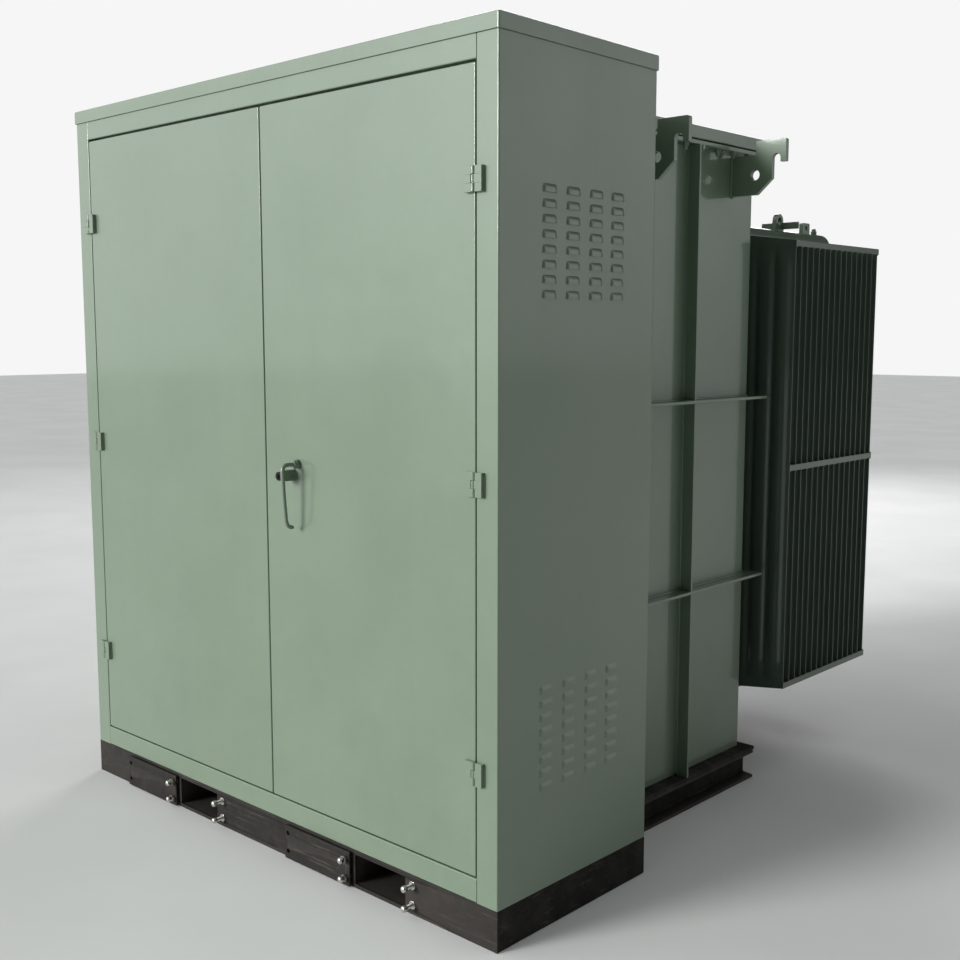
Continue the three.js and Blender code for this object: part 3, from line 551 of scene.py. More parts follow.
# ---------------------------------------------------------------- cabinet walls with their louvres
LOUVRE_ROWS, LOUVRE_PITCH, LOUVRE_HEIGHT = 8, 36, 21
LOUVRE_WIDTH, LOUVRE_PROUD = 57, 4.8
LOUVRE_COLUMNS = (183, 274, 366, 455)
LOUVRE_BANK_TOPS = (1879, 646)


def louvre_hood(bm, side, centre, top):
    """A pressed scoop, deepest along its open lower edge, running out into the sheet above and beside it."""
    across, down = 12, 6
    half = LOUVRE_WIDTH / 2

    def shell(scale, drop):
        rows = []
        for j in range(down + 1):
            v = j / down
            row = []
            for i in range(across + 1):
                u = -1 + 2 * i / across
                bulge = max(0.0, 1 - abs(u) ** 5) ** 0.6 * math.sin(min(1, v * 1.5) * math.pi / 2)
                x = side * (HALF - 0.4 - drop + LOUVRE_PROUD * scale * bulge)
                y = centre + u * half * scale * (0.86 + 0.14 * v ** 0.5)
                row.append(bm.verts.new((x, y, top - v * LOUVRE_HEIGHT)))
            rows.append(row)
        return rows

    def border(rows):
        right, left = [row[-1] for row in rows[1:]], [row[0] for row in rows[-2:0:-1]]
        return rows[0] + right + rows[-1][-2::-1] + left

    outer, inner = shell(1.0, 0.0), shell(0.86, 1.4)
    for rows in (outer, inner):
        for a, b in zip(rows, rows[1:]):
            for i in range(across):
                bm.faces.new((a[i], a[i + 1], b[i + 1], b[i]))
    out_edge, in_edge = border(outer), border(inner)
    for i in range(len(out_edge)):
        j = (i + 1) % len(out_edge)
        bm.faces.new((out_edge[i], out_edge[j], in_edge[j], in_edge[i]))


def slotted_sheet(bm, side, y0, y1, slots_y, slots_z):
    """The flat of a side wall, two skins thick, open wherever a louvre column crosses a louvre row."""
    ys = sorted({y0, y1, *[edge for slot in slots_y for edge in slot]})
    zs = sorted({WALL[4], WALL[5], *[edge for slot in slots_z for edge in slot]})
    outer = [[bm.verts.new((side * HALF, y, z)) for z in zs] for y in ys]
    inner = [[bm.verts.new((side * (HALF - SHEET), y, z)) for z in zs] for y in ys]

    def is_open(i, j):
        inside = 0 <= i < len(ys) - 1 and 0 <= j < len(zs) - 1
        return not inside or ((ys[i], ys[i + 1]) in slots_y and (zs[j], zs[j + 1]) in slots_z)

    for i in range(len(ys) - 1):
        for j in range(len(zs) - 1):
            if is_open(i, j):
                continue
            for grid in (outer, inner):
                bm.faces.new((grid[i][j], grid[i + 1][j], grid[i + 1][j + 1], grid[i][j + 1]))
            sides = [((-1, 0), (i, j), (i, j + 1)), ((1, 0), (i + 1, j), (i + 1, j + 1)),
                     ((0, -1), (i, j), (i + 1, j)), ((0, 1), (i, j + 1), (i + 1, j + 1))]
            for (di, dj), (ai, aj), (bi, bj) in sides:
                if is_open(i + di, j + dj):
                    bm.faces.new((outer[ai][aj], outer[bi][bj], inner[bi][bj], inner[ai][aj]))


def side_wall(side, node):
    bm = bmesh.new()
    seam = 8  # the folds reach this far from the wall's ends
    front_fold = soften([
        (HALF, seam), (HALF, 0), (POST_INNER, 0), (POST_INNER, STOP), (POST_INNER - 15, STOP),
        (POST_INNER - 15, STOP + SHEET), (POST_INNER + SHEET, STOP + SHEET), (POST_INNER + SHEET, SHEET),
        (HALF - SHEET, SHEET), (HALF - SHEET, seam)], FOLD, 4, only=(1, 2))
    notch, cover_level = COVER[1] + 2, TANK[5] - 35
    prism(bm, [(side * x, y) for x, y in front_fold], "z", WALL[4], WALL[5])
    for reach, low, high in ((TANK_HALF + 1, WALL[4], cover_level), (notch, cover_level, WALL[5])):
        rear_fold = soften([
            (HALF, REAR - seam), (HALF, REAR), (reach, REAR), (reach, REAR - SHEET),
            (HALF - SHEET, REAR - SHEET), (HALF - SHEET, REAR - seam)], FOLD, 4, only=(1,))
        prism(bm, [(side * x, y) for x, y in rear_fold], "z", low, high)
    rim = 4
    slots_y = [(c - LOUVRE_WIDTH / 2 + rim, c + LOUVRE_WIDTH / 2 - rim) for c in LOUVRE_COLUMNS]
    slots_z = []
    for bank_top in LOUVRE_BANK_TOPS:
        for row in range(LOUVRE_ROWS):
            top = bank_top - row * LOUVRE_PITCH
            slots_z.append((top - LOUVRE_HEIGHT + 1, top - rim))
            for centre in LOUVRE_COLUMNS:
                louvre_hood(bm, side, centre, top)
    slotted_sheet(bm, side, seam, REAR - seam, slots_y, slots_z)
    piece(f"louvred_{node}", bm, "green_paint", replaces=(node,))


side_wall(1, "cabinet_wall_right")
side_wall(-1, "cabinet_wall_left")


# ---------------------------------------------------------------- roof, header and sill
def cabinet_roof():
    x1, y0, y1, _, high = ROOF[1:]
    low = high - 39  # the fascia's height, which the apron behind reaches below
    corner, crown = 5, 4

    def rim(inset, radius, z):
        return [(x, y, z) for x, y in rectangle(-x1 + inset, x1 - inset, y0 + inset, y1 - inset, radius, 5)]

    bm = bmesh.new()
    loft(bm, [
        rim(SHEET, corner - SHEET + 0.5, high - SHEET), rim(SHEET, corner - SHEET + 0.5, low),
        rim(0.6, corner, low - 0.4), rim(0, corner, low + 0.6), rim(0, corner, high - crown),
        rim(0.3 * crown, corner, high - 0.3 * crown), rim(crown, corner, high)])
    apron = COVER[1] + 32
    block(bm, -apron, apron, y1 - SHEET - 0.2, y1 - 0.4, COVER[5] + 1.3, low + 6)
    piece("roof_pan", bm, "green_paint", replaces=("cabinet_roof",), smooth=40)


def frame_strip(name, node, points, only, lip_z, hole):
    """A folded strip between the posts, with its stop lip and the latch rod's hole."""
    half = POST_INNER - 0.3
    bm = bmesh.new()
    prism(bm, soften(points, FOLD, 4, only=only), "x", -half, half)
    prism(bm, rectangle(STOP - 0.1, STOP + SHEET, *lip_z, 0.8), "x", -half + 16, half - 16)
    strip = piece(name, bm, "green_paint", replaces=(node,))
    carve(strip, [hole])


def door_frame():
    lip = 14
    top, low = HEADER[4] + lip, SILL[5] - lip  # the strips' own edges, without their stop lips
    bottom = SILL[4]
    frame_strip(
        "door_frame_header", "front_header",
        [(0, top), (STOP, top), (STOP, top + SHEET), (SHEET, top + SHEET), (SHEET, WALL[5]), (0, WALL[5])],
        (0,), (top - lip, top + 4), rod_hole("upper", top - 5, top + 10))
    frame_strip(
        "door_frame_sill", "front_sill",
        [(0, bottom), (STOP, bottom), (STOP, bottom + SHEET), (SHEET, bottom + SHEET), (SHEET, low - SHEET),
         (STOP, low - SHEET), (STOP, low), (0, low)],
        (0, 7), (low - 4, low + lip), rod_hole("lower", low - 10, low + 5))


cabinet_roof()
door_frame()


# ---------------------------------------------------------------- doors and hinges
DOORS = {"left": span("left_door"), "right": span("right_door")}
HINGE_LEVELS = [sum(span(f"hinge_{place}_right")[4:]) / 2 for place in ("lower", "middle", "upper")]
HINGE_X = POST_INNER - 1.5
HINGE_Y, HINGE_HALF, KNUCKLE = -9, 30, 5.6
LEAF, LEAF_FACE = 27, -12
HANDLE_X, HANDLE_Z = 191, 1163


def hinge_leaf(bm, side, inward, level):
    """A thick leaf, its knuckles and its weld. inward is 1 for the door's leaf and -1 for the post's."""
    third = HINGE_HALF / 3
    low, high = level - HINGE_HALF, level + HINGE_HALF
    near, far = HINGE_X - inward * 1.5, HINGE_X - inward * (1.5 + LEAF)
    relief = HINGE_X - inward * (KNUCKLE + 1.2)
    back = 0.4 if inward > 0 else -0.3
    stations = (low, level - third, level + third, high)
    for k in range(3):
        a, b = stations[k], stations[k + 1]
        has_knuckle = (k == 1) == (inward < 0)
        edge = near if has_knuckle else relief
        leaf = [(side * far, a), (side * edge, a), (side * edge, b), (side * far, b)]
        prism(bm, leaf, "y", LEAF_FACE, back)
        if has_knuckle:
            barrel = [(KNUCKLE - 1, a + 0.4), (KNUCKLE, a + 1.4), (KNUCKLE, b - 1.4), (KNUCKLE - 1, b - 0.4)]
            turned(bm, barrel, "z", (side * HINGE_X, HINGE_Y), 24)
    weld(bm, (side * far, -1, low + 4), (side * far, -1, high - 4), 2.4, 4)


def door_hinges():
    for side, word in ((1, "right"), (-1, "left")):
        bm = bmesh.new()
        for level in HINGE_LEVELS:
            hinge_leaf(bm, side, 1, level)
        piece(f"door_hinge_leaves_{word}", bm, "green_paint", f"{word}_door", bevel=0.9)
        for place, level in zip(("lower", "middle", "upper"), HINGE_LEVELS):
            bm = bmesh.new()
            hinge_leaf(bm, side, -1, level)
            turned(bm, [(3, level - HINGE_HALF), (3, level + HINGE_HALF)], "z", (side * HINGE_X, HINGE_Y), 16)
            node = f"hinge_{place}_{word}"
            piece(f"post_leaf_{place}_{word}", bm, "green_paint", replaces=(node,), bevel=0.9)


def door_panel(word):
    """A folded pan with rounded edges, its hat-section stiffeners and its seal."""
    gap = 3
    left, right = DOORS["right"][0], POST_INNER - gap
    if word == "left":
        left, right = gap - POST_INNER, DOORS["left"][1]
    z0, z1 = DOORS[word][4:]
    body = f"{word}_door"
    depth, edge, radius = 25, 3.2, 4

    def rim(inset, y, corner):
        outline = rectangle(left + inset, right - inset, z0 + inset, z1 - inset, corner, 3)
        return [(x, y, z) for x, z in outline]

    bm = bmesh.new()
    loft(bm, [
        rim(SHEET, SHEET, 2), rim(SHEET, depth - 0.6, 2), rim(SHEET - 0.6, depth, 2), rim(0.6, depth, radius),
        rim(0, depth - 0.6, radius), rim(0, edge, radius), rim(0.12 * edge, 0.5 * edge, radius),
        rim(0.5 * edge, 0.12 * edge, radius), rim(edge, 0, radius)])
    door = piece(f"door_panel_{word}", bm, "green_paint", body, replaces=(body,), smooth=40)
    if word == "right":
        shaft = bore("y", (HANDLE_X, HANDLE_Z), 10, -5, 12)
        carve(door, [rod_hole("upper", z1 - 8, z1 + 5), rod_hole("lower", z0 - 5, z0 + 8), shaft])
    stiffeners = bmesh.new()
    welds, margin = 6, 120  # spot welds along a stiffener, and how far the end ones are from the door's ends
    for share in (0.30, 0.72):
        x = left + share * (right - left)
        if word == "right" and abs(x - HANDLE_X) <= 90:
            continue
        hat = strap(x, [(42, SHEET), (42, 4.6), (26, 4.6), (22, 20)], [(28, SHEET), (24, 18.2)])
        prism(stiffeners, hat, "z", z0 + 25, z1 - 25)
        for level in range(welds):
            z = z0 + margin + level * (z1 - z0 - 2 * margin) / (welds - 1)
            for offset in (-34, 34):
                turned(stiffeners, [(6, 0), (5, 0.9), (2, 1.3)], "y", (x + offset, z), 12, 1, 4.5)
    piece(f"door_stiffeners_{word}", stiffeners, "green_paint", body, smooth=35)
    seal = bmesh.new()
    outer = rectangle(left + 5, right - 5, z0 + 5, z1 - 5, 3)
    inner = rectangle(left + 15, right - 15, z0 + 15, z1 - 15, 3)
    ring_of(seal, outer, inner, "y", SHEET - 0.2, 11)
    piece(f"door_seal_{word}", seal, "gasket", body, smooth=40)


def document_pocket():
    """A folded sheet pocket on the left door's inside, open at its top."""
    x0, x1, z0, z1 = -560, -260, 1180, 1360
    front, back, sheet = 4, 24.2, 1.2
    bm = bmesh.new()
    block(bm, x0, x1, back - sheet, back, z0, z1)
    block(bm, x0, x0 + sheet, front, back - sheet, z0, z1)
    block(bm, x1 - sheet, x1, front, back - sheet, z0, z1)
    block(bm, x0, x1, front, back, z0 - sheet, z0)
    piece("document_pocket", bm, "zinc_steel", "left_door", bevel=0.3)


for word in ("left", "right"):
    door_panel(word)
door_hinges()
document_pocket()


# ---------------------------------------------------------------- handle, lock and latch
def arc(start, control, end, steps=7):
    a, b, c = Vector(start), Vector(control), Vector(end)
    return [(1 - t) ** 2 * a + 2 * t * (1 - t) * b + t * t * c for t in (k / steps for k in range(steps + 1))]


def door_handle():
    x, z, rod, reach, drop = HANDLE_X, HANDLE_Z, 5.9, 54, 175
    path = [Vector((x, -14, z)), Vector((x, -30, z))]
    path += arc((x, -reach + 18, z), (x, -reach, z), (x, -reach, z - 18))
    for k in range(1, 12):
        t = k / 12
        bow = 1.2 * math.sin(math.pi * t)
        path.append(Vector((x, -reach + 9 * t - bow, z - 18 - t * (drop - 40))))
    path += arc((x, -reach + 9, z - drop + 22), (x, -reach + 12, z - drop + 2), (x, -reach + 30, z - drop), 8)
    radii = [rod] * len(path)
    for share in (0.9, 0.65, 0.28):
        path.append(path[-1] + Vector((0, 1.9, -0.1)))
        radii.append(rod * share)
    bm = bmesh.new()
    tube(bm, path, radii, 24)
    for start, end, radius in ((-18.5, -14, 11), (-13, -8, 12.6), (-7, -2.2, 12.8)):
        collar = [(radius - 1.2, start), (radius, start + 1.1), (radius, end - 1.1), (radius - 1.2, end)]
        turned(bm, collar, "y", (x, z), 36)
    turned(bm, [(7.5, -18.4), (9, -17), (9, 27), (8, 28)], "y", (x, z), 32)
    piece("door_handle_lever", bm, "green_paint", "handle", replaces=("door_handle",), smooth=40)
    cam = bmesh.new()
    pins = [(x + 21.2, z - 21.2), (x - 21.2, z + 21.2)]
    plate = [(pins[0][0] + 11, pins[0][1] - 1), (pins[0][0] + 1, pins[0][1] - 11),
             (pins[1][0] - 11, pins[1][1] + 1), (pins[1][0] - 1, pins[1][1] + 11)]
    prism(cam, soften(plate, 9, 6), "y", 22.2, 27)
    for centre in pins:
        turned(cam, [(5, 10.4), (5, 24), (7.4, 27), (7.4, 29.4), (6.4, 30.4)], "y", centre, 24)
    hex_head(cam, "y", (x, z), 28, 1, 17, 8)
    piece("latch_cam", cam, "zinc_steel", "handle", bevel=0.5)


def lock_set():
    x0, x1, front, _, z0, z1 = span("lock_block")
    bm = bmesh.new()
    prism(bm, soften([(front, z0), (front, z1), (-0.2, z1), (-0.2, z0)], 4, 4, only=(0, 1)), "x", x0, x1)
    for z in (z0, z1):
        weld(bm, (x0 + 1, -1.2, z), (x1 - 1, -1.2, z), 2.6, 3.6)
    for x in (x0, x1):
        weld(bm, (x, -1.2, z0 + 1), (x, -1.2, z1 - 1), 2.6, 3.6)
    hasp = piece("lock_hasp_block", bm, "green_paint", "right_door", replaces=("lock_block",), bevel=0.8)
    centre = ((x0 + x1) / 2, (z0 + z1) / 2 - 0.5)
    carve(hasp, [bore("y", centre, 5.6, front - 4, -10)])
    bolt = bmesh.new()
    head = [(5, -14), (5, front - 0.4), (11.6, front - 0.5), (12.2, front - 1.4), (12.2, front - 4.6),
            (11.4, front - 5.6), (5.2, front - 6)]
    turned(bolt, head, "y", centre, 40)
    pentagon = circle(*centre, 6, 5)
    prism(bolt, soften(pentagon, 1.2, 3), "y", front - 11, front - 5.4)
    piece("captive_lock_bolt", bolt, "black_paint", "lock_bolt", replaces=("lock_bolt",), bevel=0.5)


def rod_guides():
    """Bent straps on the door's inside that the latch rods slide through, clear of them all round."""
    bm = bmesh.new()
    foot = SHEET - 0.2
    for place, levels in (("upper", (1480, 2040)), ("lower", (820, 300))):
        middle = sum(rod_bar(place)[:2]) / 2
        guide = strap(middle, [(32, foot), (32, 5), (14, 5), (14, 20.5)], [(12, foot), (12, 18.7)])
        for z in levels:
            prism(bm, guide, "z", z - 13, z + 13)
    piece("latch_rod_guides", bm, "zinc_steel", "right_door", bevel=0.5)


door_handle()
lock_set()
rod_guides()
ease_edges("latch_rod_upper", 0.6)
ease_edges("latch_rod_lower", 0.6)


# ---------------------------------------------------------------- base with its fork pockets
POCKETS = (-339, 511)
POCKET_HALF, POCKET_LOW, POCKET_HIGH, POCKET_WALL = 100, 12, 97, 6
STUD_OFFSET, STUD_LEVELS, STUD_REACH = 127, (27, 81), 38


def pocket_outline(x, wall=0, rise=0, radius=6):
    half = POCKET_HALF + wall
    return rectangle(x - half, x + half, POCKET_LOW - rise, POCKET_HIGH + rise, radius, 4)


def base_frame():
    bm = bmesh.new()
    rear = TANK_FRONT - 4
    flange = HALF - 60
    channel = soften([
        (HALF, 0), (HALF, BASE_TOP), (flange, BASE_TOP), (flange, BASE_TOP - 7), (HALF - 7, BASE_TOP - 9),
        (HALF - 7, 9), (flange, 7), (flange, 0)], 5, 4)
    for side in (-1, 1):
        prism(bm, [(side * x, z) for x, z in channel], "y", 6.2, REAR)
    for z0, z1 in ((0, 8), (BASE_TOP - 8, BASE_TOP)):
        for y0, y1 in ((5, 60), (rear - 60, rear - 2)):
            block(bm, -HALF + 8, HALF - 8, y0, y1, z0 + 0.2, z1 - 0.2)
    piece("base_channels", bm, "black_paint", replaces=("cabinet_base_frame",), bevel=1.0)
    webs = bmesh.new()
    block(webs, -HALF, HALF, 0, 6, 0, BASE_TOP)
    block(webs, -HALF + 8, HALF - 8, rear - 6, rear, 0.4, BASE_TOP - 0.4)
    web = piece("base_webs", webs, "black_paint", bevel=1.4)
    carve(web, [solid(prism, pocket_outline(x), "y", -10, REAR + 10) for x in POCKETS])
    pockets = bmesh.new()
    for x in POCKETS:
        ring_of(pockets, pocket_outline(x, POCKET_WALL, 4, 8), pocket_outline(x), "y", 5.5, rear - 4)
        left, right = x - POCKET_HALF + 4, x + POCKET_HALF - 4
        for z in (POCKET_LOW - 3, POCKET_HIGH + 3):
            weld(pockets, (left, 0.2, z), (right, 0.2, z), 2.8, 6)
    piece("fork_pockets", pockets, "black_paint", smooth=40)


def base_studs():
    """Zinc studs for the pocket covers. The left pair of each pocket carries its cover under domed nuts."""
    bm = bmesh.new()
    tip = STUD_REACH
    threads = [(6.0 if k % 2 else 5.3, -0.2 + k * 0.9) for k in range(36)]
    dome = [(9.0, tip - 13), (9.3, tip - 12), (9.3, tip - 6), (8.3, tip - 2.6), (6, tip - 0.9), (2.4, tip)]
    for x in POCKETS:
        for side in (-1, 1):
            for z in STUD_LEVELS:
                centre = (x + side * STUD_OFFSET, z)
                turned(bm, threads, "y", centre, 20, -1)
                turned(bm, [(11, 0), (11.5, 0.5), (11.5, 1.8), (11, 2.2)], "y", centre, 28, -1)
                if side < 0:
                    hex_bar(bm, "y", centre, 19, [(13, 0.97), (13.8, 1), (22, 1), (22.8, 0.92)], -1, 0, 0.3)
                turned(bm, dome, "y", centre, 28, -1)
    piece("pocket_cover_studs", bm, "zinc_steel", smooth=40)


def fork_cover(node):
    x0, x1, front, rear, z0, z1 = span(node)
    bm = bmesh.new()
    prism(bm, rectangle(x0, x1, z0, z1, 3, 3), "y", front, rear)
    cover = piece(f"{node}_plate", bm, "black_paint", replaces=(node,), bevel=1.0)
    places = [((x0 + x1) / 2 + side * STUD_OFFSET, z) for side in (-1, 1) for z in STUD_LEVELS]
    carve(cover, [bore("y", place, 6.8, front - 4, rear + 4, 28) for place in places])


base_frame()
base_studs()
fork_cover("fork_cover_left")
fork_cover("fork_cover_right")


# ---------------------------------------------------------------- tank
FLANGE_LOW, FLANGE_TOP = 2088, 2100
COVER_OUT = 35
BOLT_PITCH, BOLT_INSET = 89, 11


def tank_outline(inset, radius):
    return rectangle(-TANK_HALF + inset, TANK_HALF - inset, TANK_FRONT + inset, TANK_REAR - inset, radius, 5)


def tank_shell():
    low = BASE_TOP + 0.3
    bm = bmesh.new()
    ring_of(bm, tank_outline(0, 9), tank_outline(6, 4), "z", low, FLANGE_TOP - 2)
    shell = piece("tank_walls", bm, "green_paint", replaces=("tank_shell",), smooth=40)
    bores = [(f"fuse_holder_{i}", 21, FUSE_Z) for i in (1, 2, 3)]
    bores += [("load_break_switch_handle", 11.6, SWITCH_Z), ("tap_changer_handle", 11.6, TAP_Z)]
    carve(shell, [bore("y", (centre_of(node)[0], z), radius, TANK_FRONT - 5, TANK_FRONT + 12)
                  for node, radius, z in bores])
    flange = bmesh.new()
    ring_of(flange, tank_outline(-COVER_OUT, 35), tank_outline(5, 5), "z", FLANGE_LOW, FLANGE_TOP)
    piece("tank_flange", flange, "green_paint", bevel=1.2)
    ribs = bmesh.new()
    y = (span("lifting_lug_front_right")[2] + span("lifting_lug_rear_right")[2]) / 2 + 28
    stations = [low, BELTS[0][4] - 1, BELTS[0][5] + 1, BELTS[1][4] - 1, BELTS[1][5] + 1, FLANGE_LOW - 0.5]
    for side in (-1, 1):
        for a, b in zip(stations[::2], stations[1::2]):
            x = side * (TANK_HALF + BELT_SIDE)
            block(ribs, *sorted((side * (TANK_HALF - 1), x)), y - 4, y + 4, a, b)
            x = side * (TANK_HALF + 0.6)
            for edge in (-4.5, 4.5):
                weld(ribs, (x, y + edge, a + 6), (x, y + edge, b - 6), 3.2, 9)
    piece("tank_ribs", ribs, "green_paint", bevel=0.8)


def cover_bolt_places():
    """Where the flange's bolts stand, evenly round it."""
    out = COVER_OUT - BOLT_INSET
    x, y0, y1 = TANK_HALF + out, TANK_FRONT - out, TANK_REAR + out
    places = []
    count = round((y1 - y0) / BOLT_PITCH)
    for k in range(count + 1):
        y = y0 + 12 + k * (y1 - y0 - 24) / count
        places += [(-x, y), (x, y)]
    count = round(2 * x / BOLT_PITCH)
    for k in range(1, count):
        across = -x + k * 2 * x / count
        places += [(across, y0), (across, y1)]
    return places


def tank_cover():
    bm = bmesh.new()

    def rim(inset, z):
        return [(x, y, z) for x, y in tank_outline(-COVER_OUT + inset, 35 - inset)]

    low, top = COVER[4], COVER[5]
    loft(bm, [rim(2, low), rim(0, low + 2), rim(0, top - 3), rim(0.9, top - 0.9), rim(3, top)])
    hatch_x, hatch_y, half_x, half_y = 250, 1180, 210, 130
    hatch = rectangle(hatch_x - half_x, hatch_x + half_x, hatch_y - half_y, hatch_y + half_y, 20, 5)
    prism(bm, hatch, "z", top - 0.5, top + 9)
    piece("cover_plate", bm, "green_paint", replaces=("tank_cover",), bevel=0.9)
    bolts = bmesh.new()
    for place in cover_bolt_places():
        hex_bar(bolts, "z", place, 19, [(-0.1, 1), (10, 1), (11, 0.9)], -1, FLANGE_LOW, rng.random())
        turned(bolts, [(6, 0), (6, 10), (5, 12)], "z", place, 12, -1, FLANGE_LOW - 9)
    for x in (hatch_x - half_x + 22, hatch_x, hatch_x + half_x - 22):
        for y in (hatch_y - half_y + 20, hatch_y + half_y - 20):
            hex_head(bolts, "z", (x, y), top + 8.9, 1, 17, 9, rng.random())
    piece("cover_bolts", bolts, "green_paint", smooth=35)


def belt(index):
    node = ("tank_belt_lower", "tank_belt_upper")[index]
    x1, y0, y1, z0, z1 = BELTS[index][1:]
    half, rear = TANK_HALF + 0.3, TANK_REAR + 0.3
    band = [(half, y0), (x1, y0), (x1, y1), (-x1, y1), (-x1, y0), (-half, y0), (-half, rear), (half, rear)]
    bm = bmesh.new()
    prism(bm, band, "z", z0, z1)
    inset = TANK_HALF + 1.5
    for z in (z0 - 1.5, z1 + 1.5):
        for side in (-1, 1):
            weld(bm, (side * inset, y0, z), (side * inset, TANK_REAR, z), 3.6, 9)
        weld(bm, (-TANK_HALF, TANK_REAR + 1.5, z), (TANK_HALF, TANK_REAR + 1.5, z), 3.6, 9)
    piece(f"{node}_band", bm, "green_paint", replaces=(node,), bevel=0.9)


def lifting_lug(node):
    _, x1, y0, y1, z0, z1 = span(node)
    side = 1 if x1 > 0 else -1
    wall, tip = TANK_HALF + 0.3, TANK_HALF + 193
    throat = [spot((TANK_HALF + 160, 2060), 14, math.pi * (1 - k / 12)) for k in range(13)]
    horn = soften([(tip, 2100), (tip, z1), (TANK_HALF + 172, z1)], 34, 6, only=(1,))
    profile = [
        (wall, 1953), (TANK_HALF + 93, 1953), (TANK_HALF + 146, 2000), *throat, (TANK_HALF + 174, 2048),
        (tip, 2048), *horn, (TANK_HALF + 88, z1), (TANK_HALF + 88, 2076), (wall, 2076)]
    bm = bmesh.new()
    prism(bm, [(side * u, v) for u, v in profile], "y", y0, y1)
    x = side * (TANK_HALF + 2)
    for y in (y0 - 1, y1 + 1):
        weld(bm, (x, y, z0 + 2), (x, y, 2074), 4.6, 9)
    weld(bm, (x, y0, z0 - 1), (x, y1, z0 - 1), 4.6, 7)
    lug = piece(f"{node}_plate", bm, "green_paint", replaces=(node,), bevel=1.1)
    carve(lug, [bore("y", (side * (TANK_HALF + 87), 2014), 16, y0 - 5, y1 + 5, 40)])


def tank_foot():
    x1, y0, y1, z0, z1 = span("tank_base_plate")[1:]
    bm = bmesh.new()
    block(bm, -x1, x1, y0, y1, z0, z1)
    for side in (-1, 1):
        weld(bm, (side * TANK_HALF, y0 + 25, z1), (side * TANK_HALF, TANK_REAR, z1), 5.5, 10)
    weld(bm, (-TANK_HALF, TANK_REAR, z1), (TANK_HALF, TANK_REAR, z1), 5.5, 10)
    piece("tank_floor_plate", bm, "black_paint", replaces=("tank_base_plate",), bevel=1.2)
    for node in ("base_beam_right", "base_beam_left"):
        x0, x1, y0, y1, z0, z1 = span(node)
        left, right = (x0 + x1) / 2 - 4, (x0 + x1) / 2 + 4
        section = soften([
            (x0, z0), (x1, z0), (x1, z0 + 10), (right, z0 + 13), (right, z1 - 13), (x1, z1 - 10),
            (x1, z1), (x0, z1), (x0, z1 - 10), (left, z1 - 13), (left, z0 + 13), (x0, z0 + 10)], 4, 3)
        bm = bmesh.new()
        prism(bm, section, "y", y0 + 0.5, y1)
        weld(bm, (x1 - 4, y0 + 30, z1 + 0.3), (x1 - 4, y1 - 10, z1 + 0.3), 3.2, 12)
        piece(f"{node}_section", bm, "black_paint", replaces=(node,), smooth=40)


tank_shell()
tank_cover()
belt(0)
belt(1)
for row in ("front", "rear"):
    for hand in ("right", "left"):
        lifting_lug(f"lifting_lug_{row}_{hand}")
tank_foot()


# ---------------------------------------------------------------- radiators
FIN_COUNT, FIN_PITCH, FIN_HALF = 16, 40, 240
FIN_FIRST = 1582
FIN_LOW, FIN_HIGH = 306, 1828
FLUTES, FLUTE_LOW, FLUTE_HIGH = 7, 363, 1776
FIN_BORDER = 0.02  # the flat seam at a fin's side, as a share of its width
PIPE_RADIUS, PIPE_LEVELS = 44, (290, 1846)
PLUG_DEPTH = 2150
SEAM_HALF, FLUTE_RISE = 1.3, 7.2  # half a fin's thickness at its seams, and how far a flute swells beyond it


def smooth_step(value, low, high):
    t = min(1.0, max(0.0, (value - low) / (high - low)))
    return t * t * (3 - 2 * t)


def fin_stations():
    """Where a fin's mesh has its columns, as shares of its width, closer together at the flutes' flanks."""
    cell = (1 - 2 * FIN_BORDER) / FLUTES
    shares = [0.0, FIN_BORDER * 0.5]
    for k in range(FLUTES):
        shares += [FIN_BORDER + cell * (k + part) for part in (0.0, 0.08, 0.18, 0.32, 0.5, 0.68, 0.82, 0.92)]
    return shares + [1 - FIN_BORDER, 1 - FIN_BORDER * 0.5, 1.0]


def flute_height(share):
    """How far a flute swells at a share of the width: flat-topped, with smooth flanks and flat seams."""
    if share <= FIN_BORDER or share >= 1 - FIN_BORDER:
        return 0.0
    phase = ((share - FIN_BORDER) / (1 - 2 * FIN_BORDER) * FLUTES) % 1.0
    return smooth_step(min(phase, 1 - phase), 0.02, 0.30)


def fin_rows():
    """Where a fin's mesh has its rows, as heights above its lower edge."""
    low, high, top = FLUTE_LOW - FIN_LOW, FLUTE_HIGH - FIN_LOW, FIN_HIGH - FIN_LOW
    rows = [0.0, 12, 34, low - 14, low + 14, low + 40, 220, 500, 761, 1020, 1300]
    return rows + [high - 40, high - 14, high + 14, top - 18, top - 12, top]


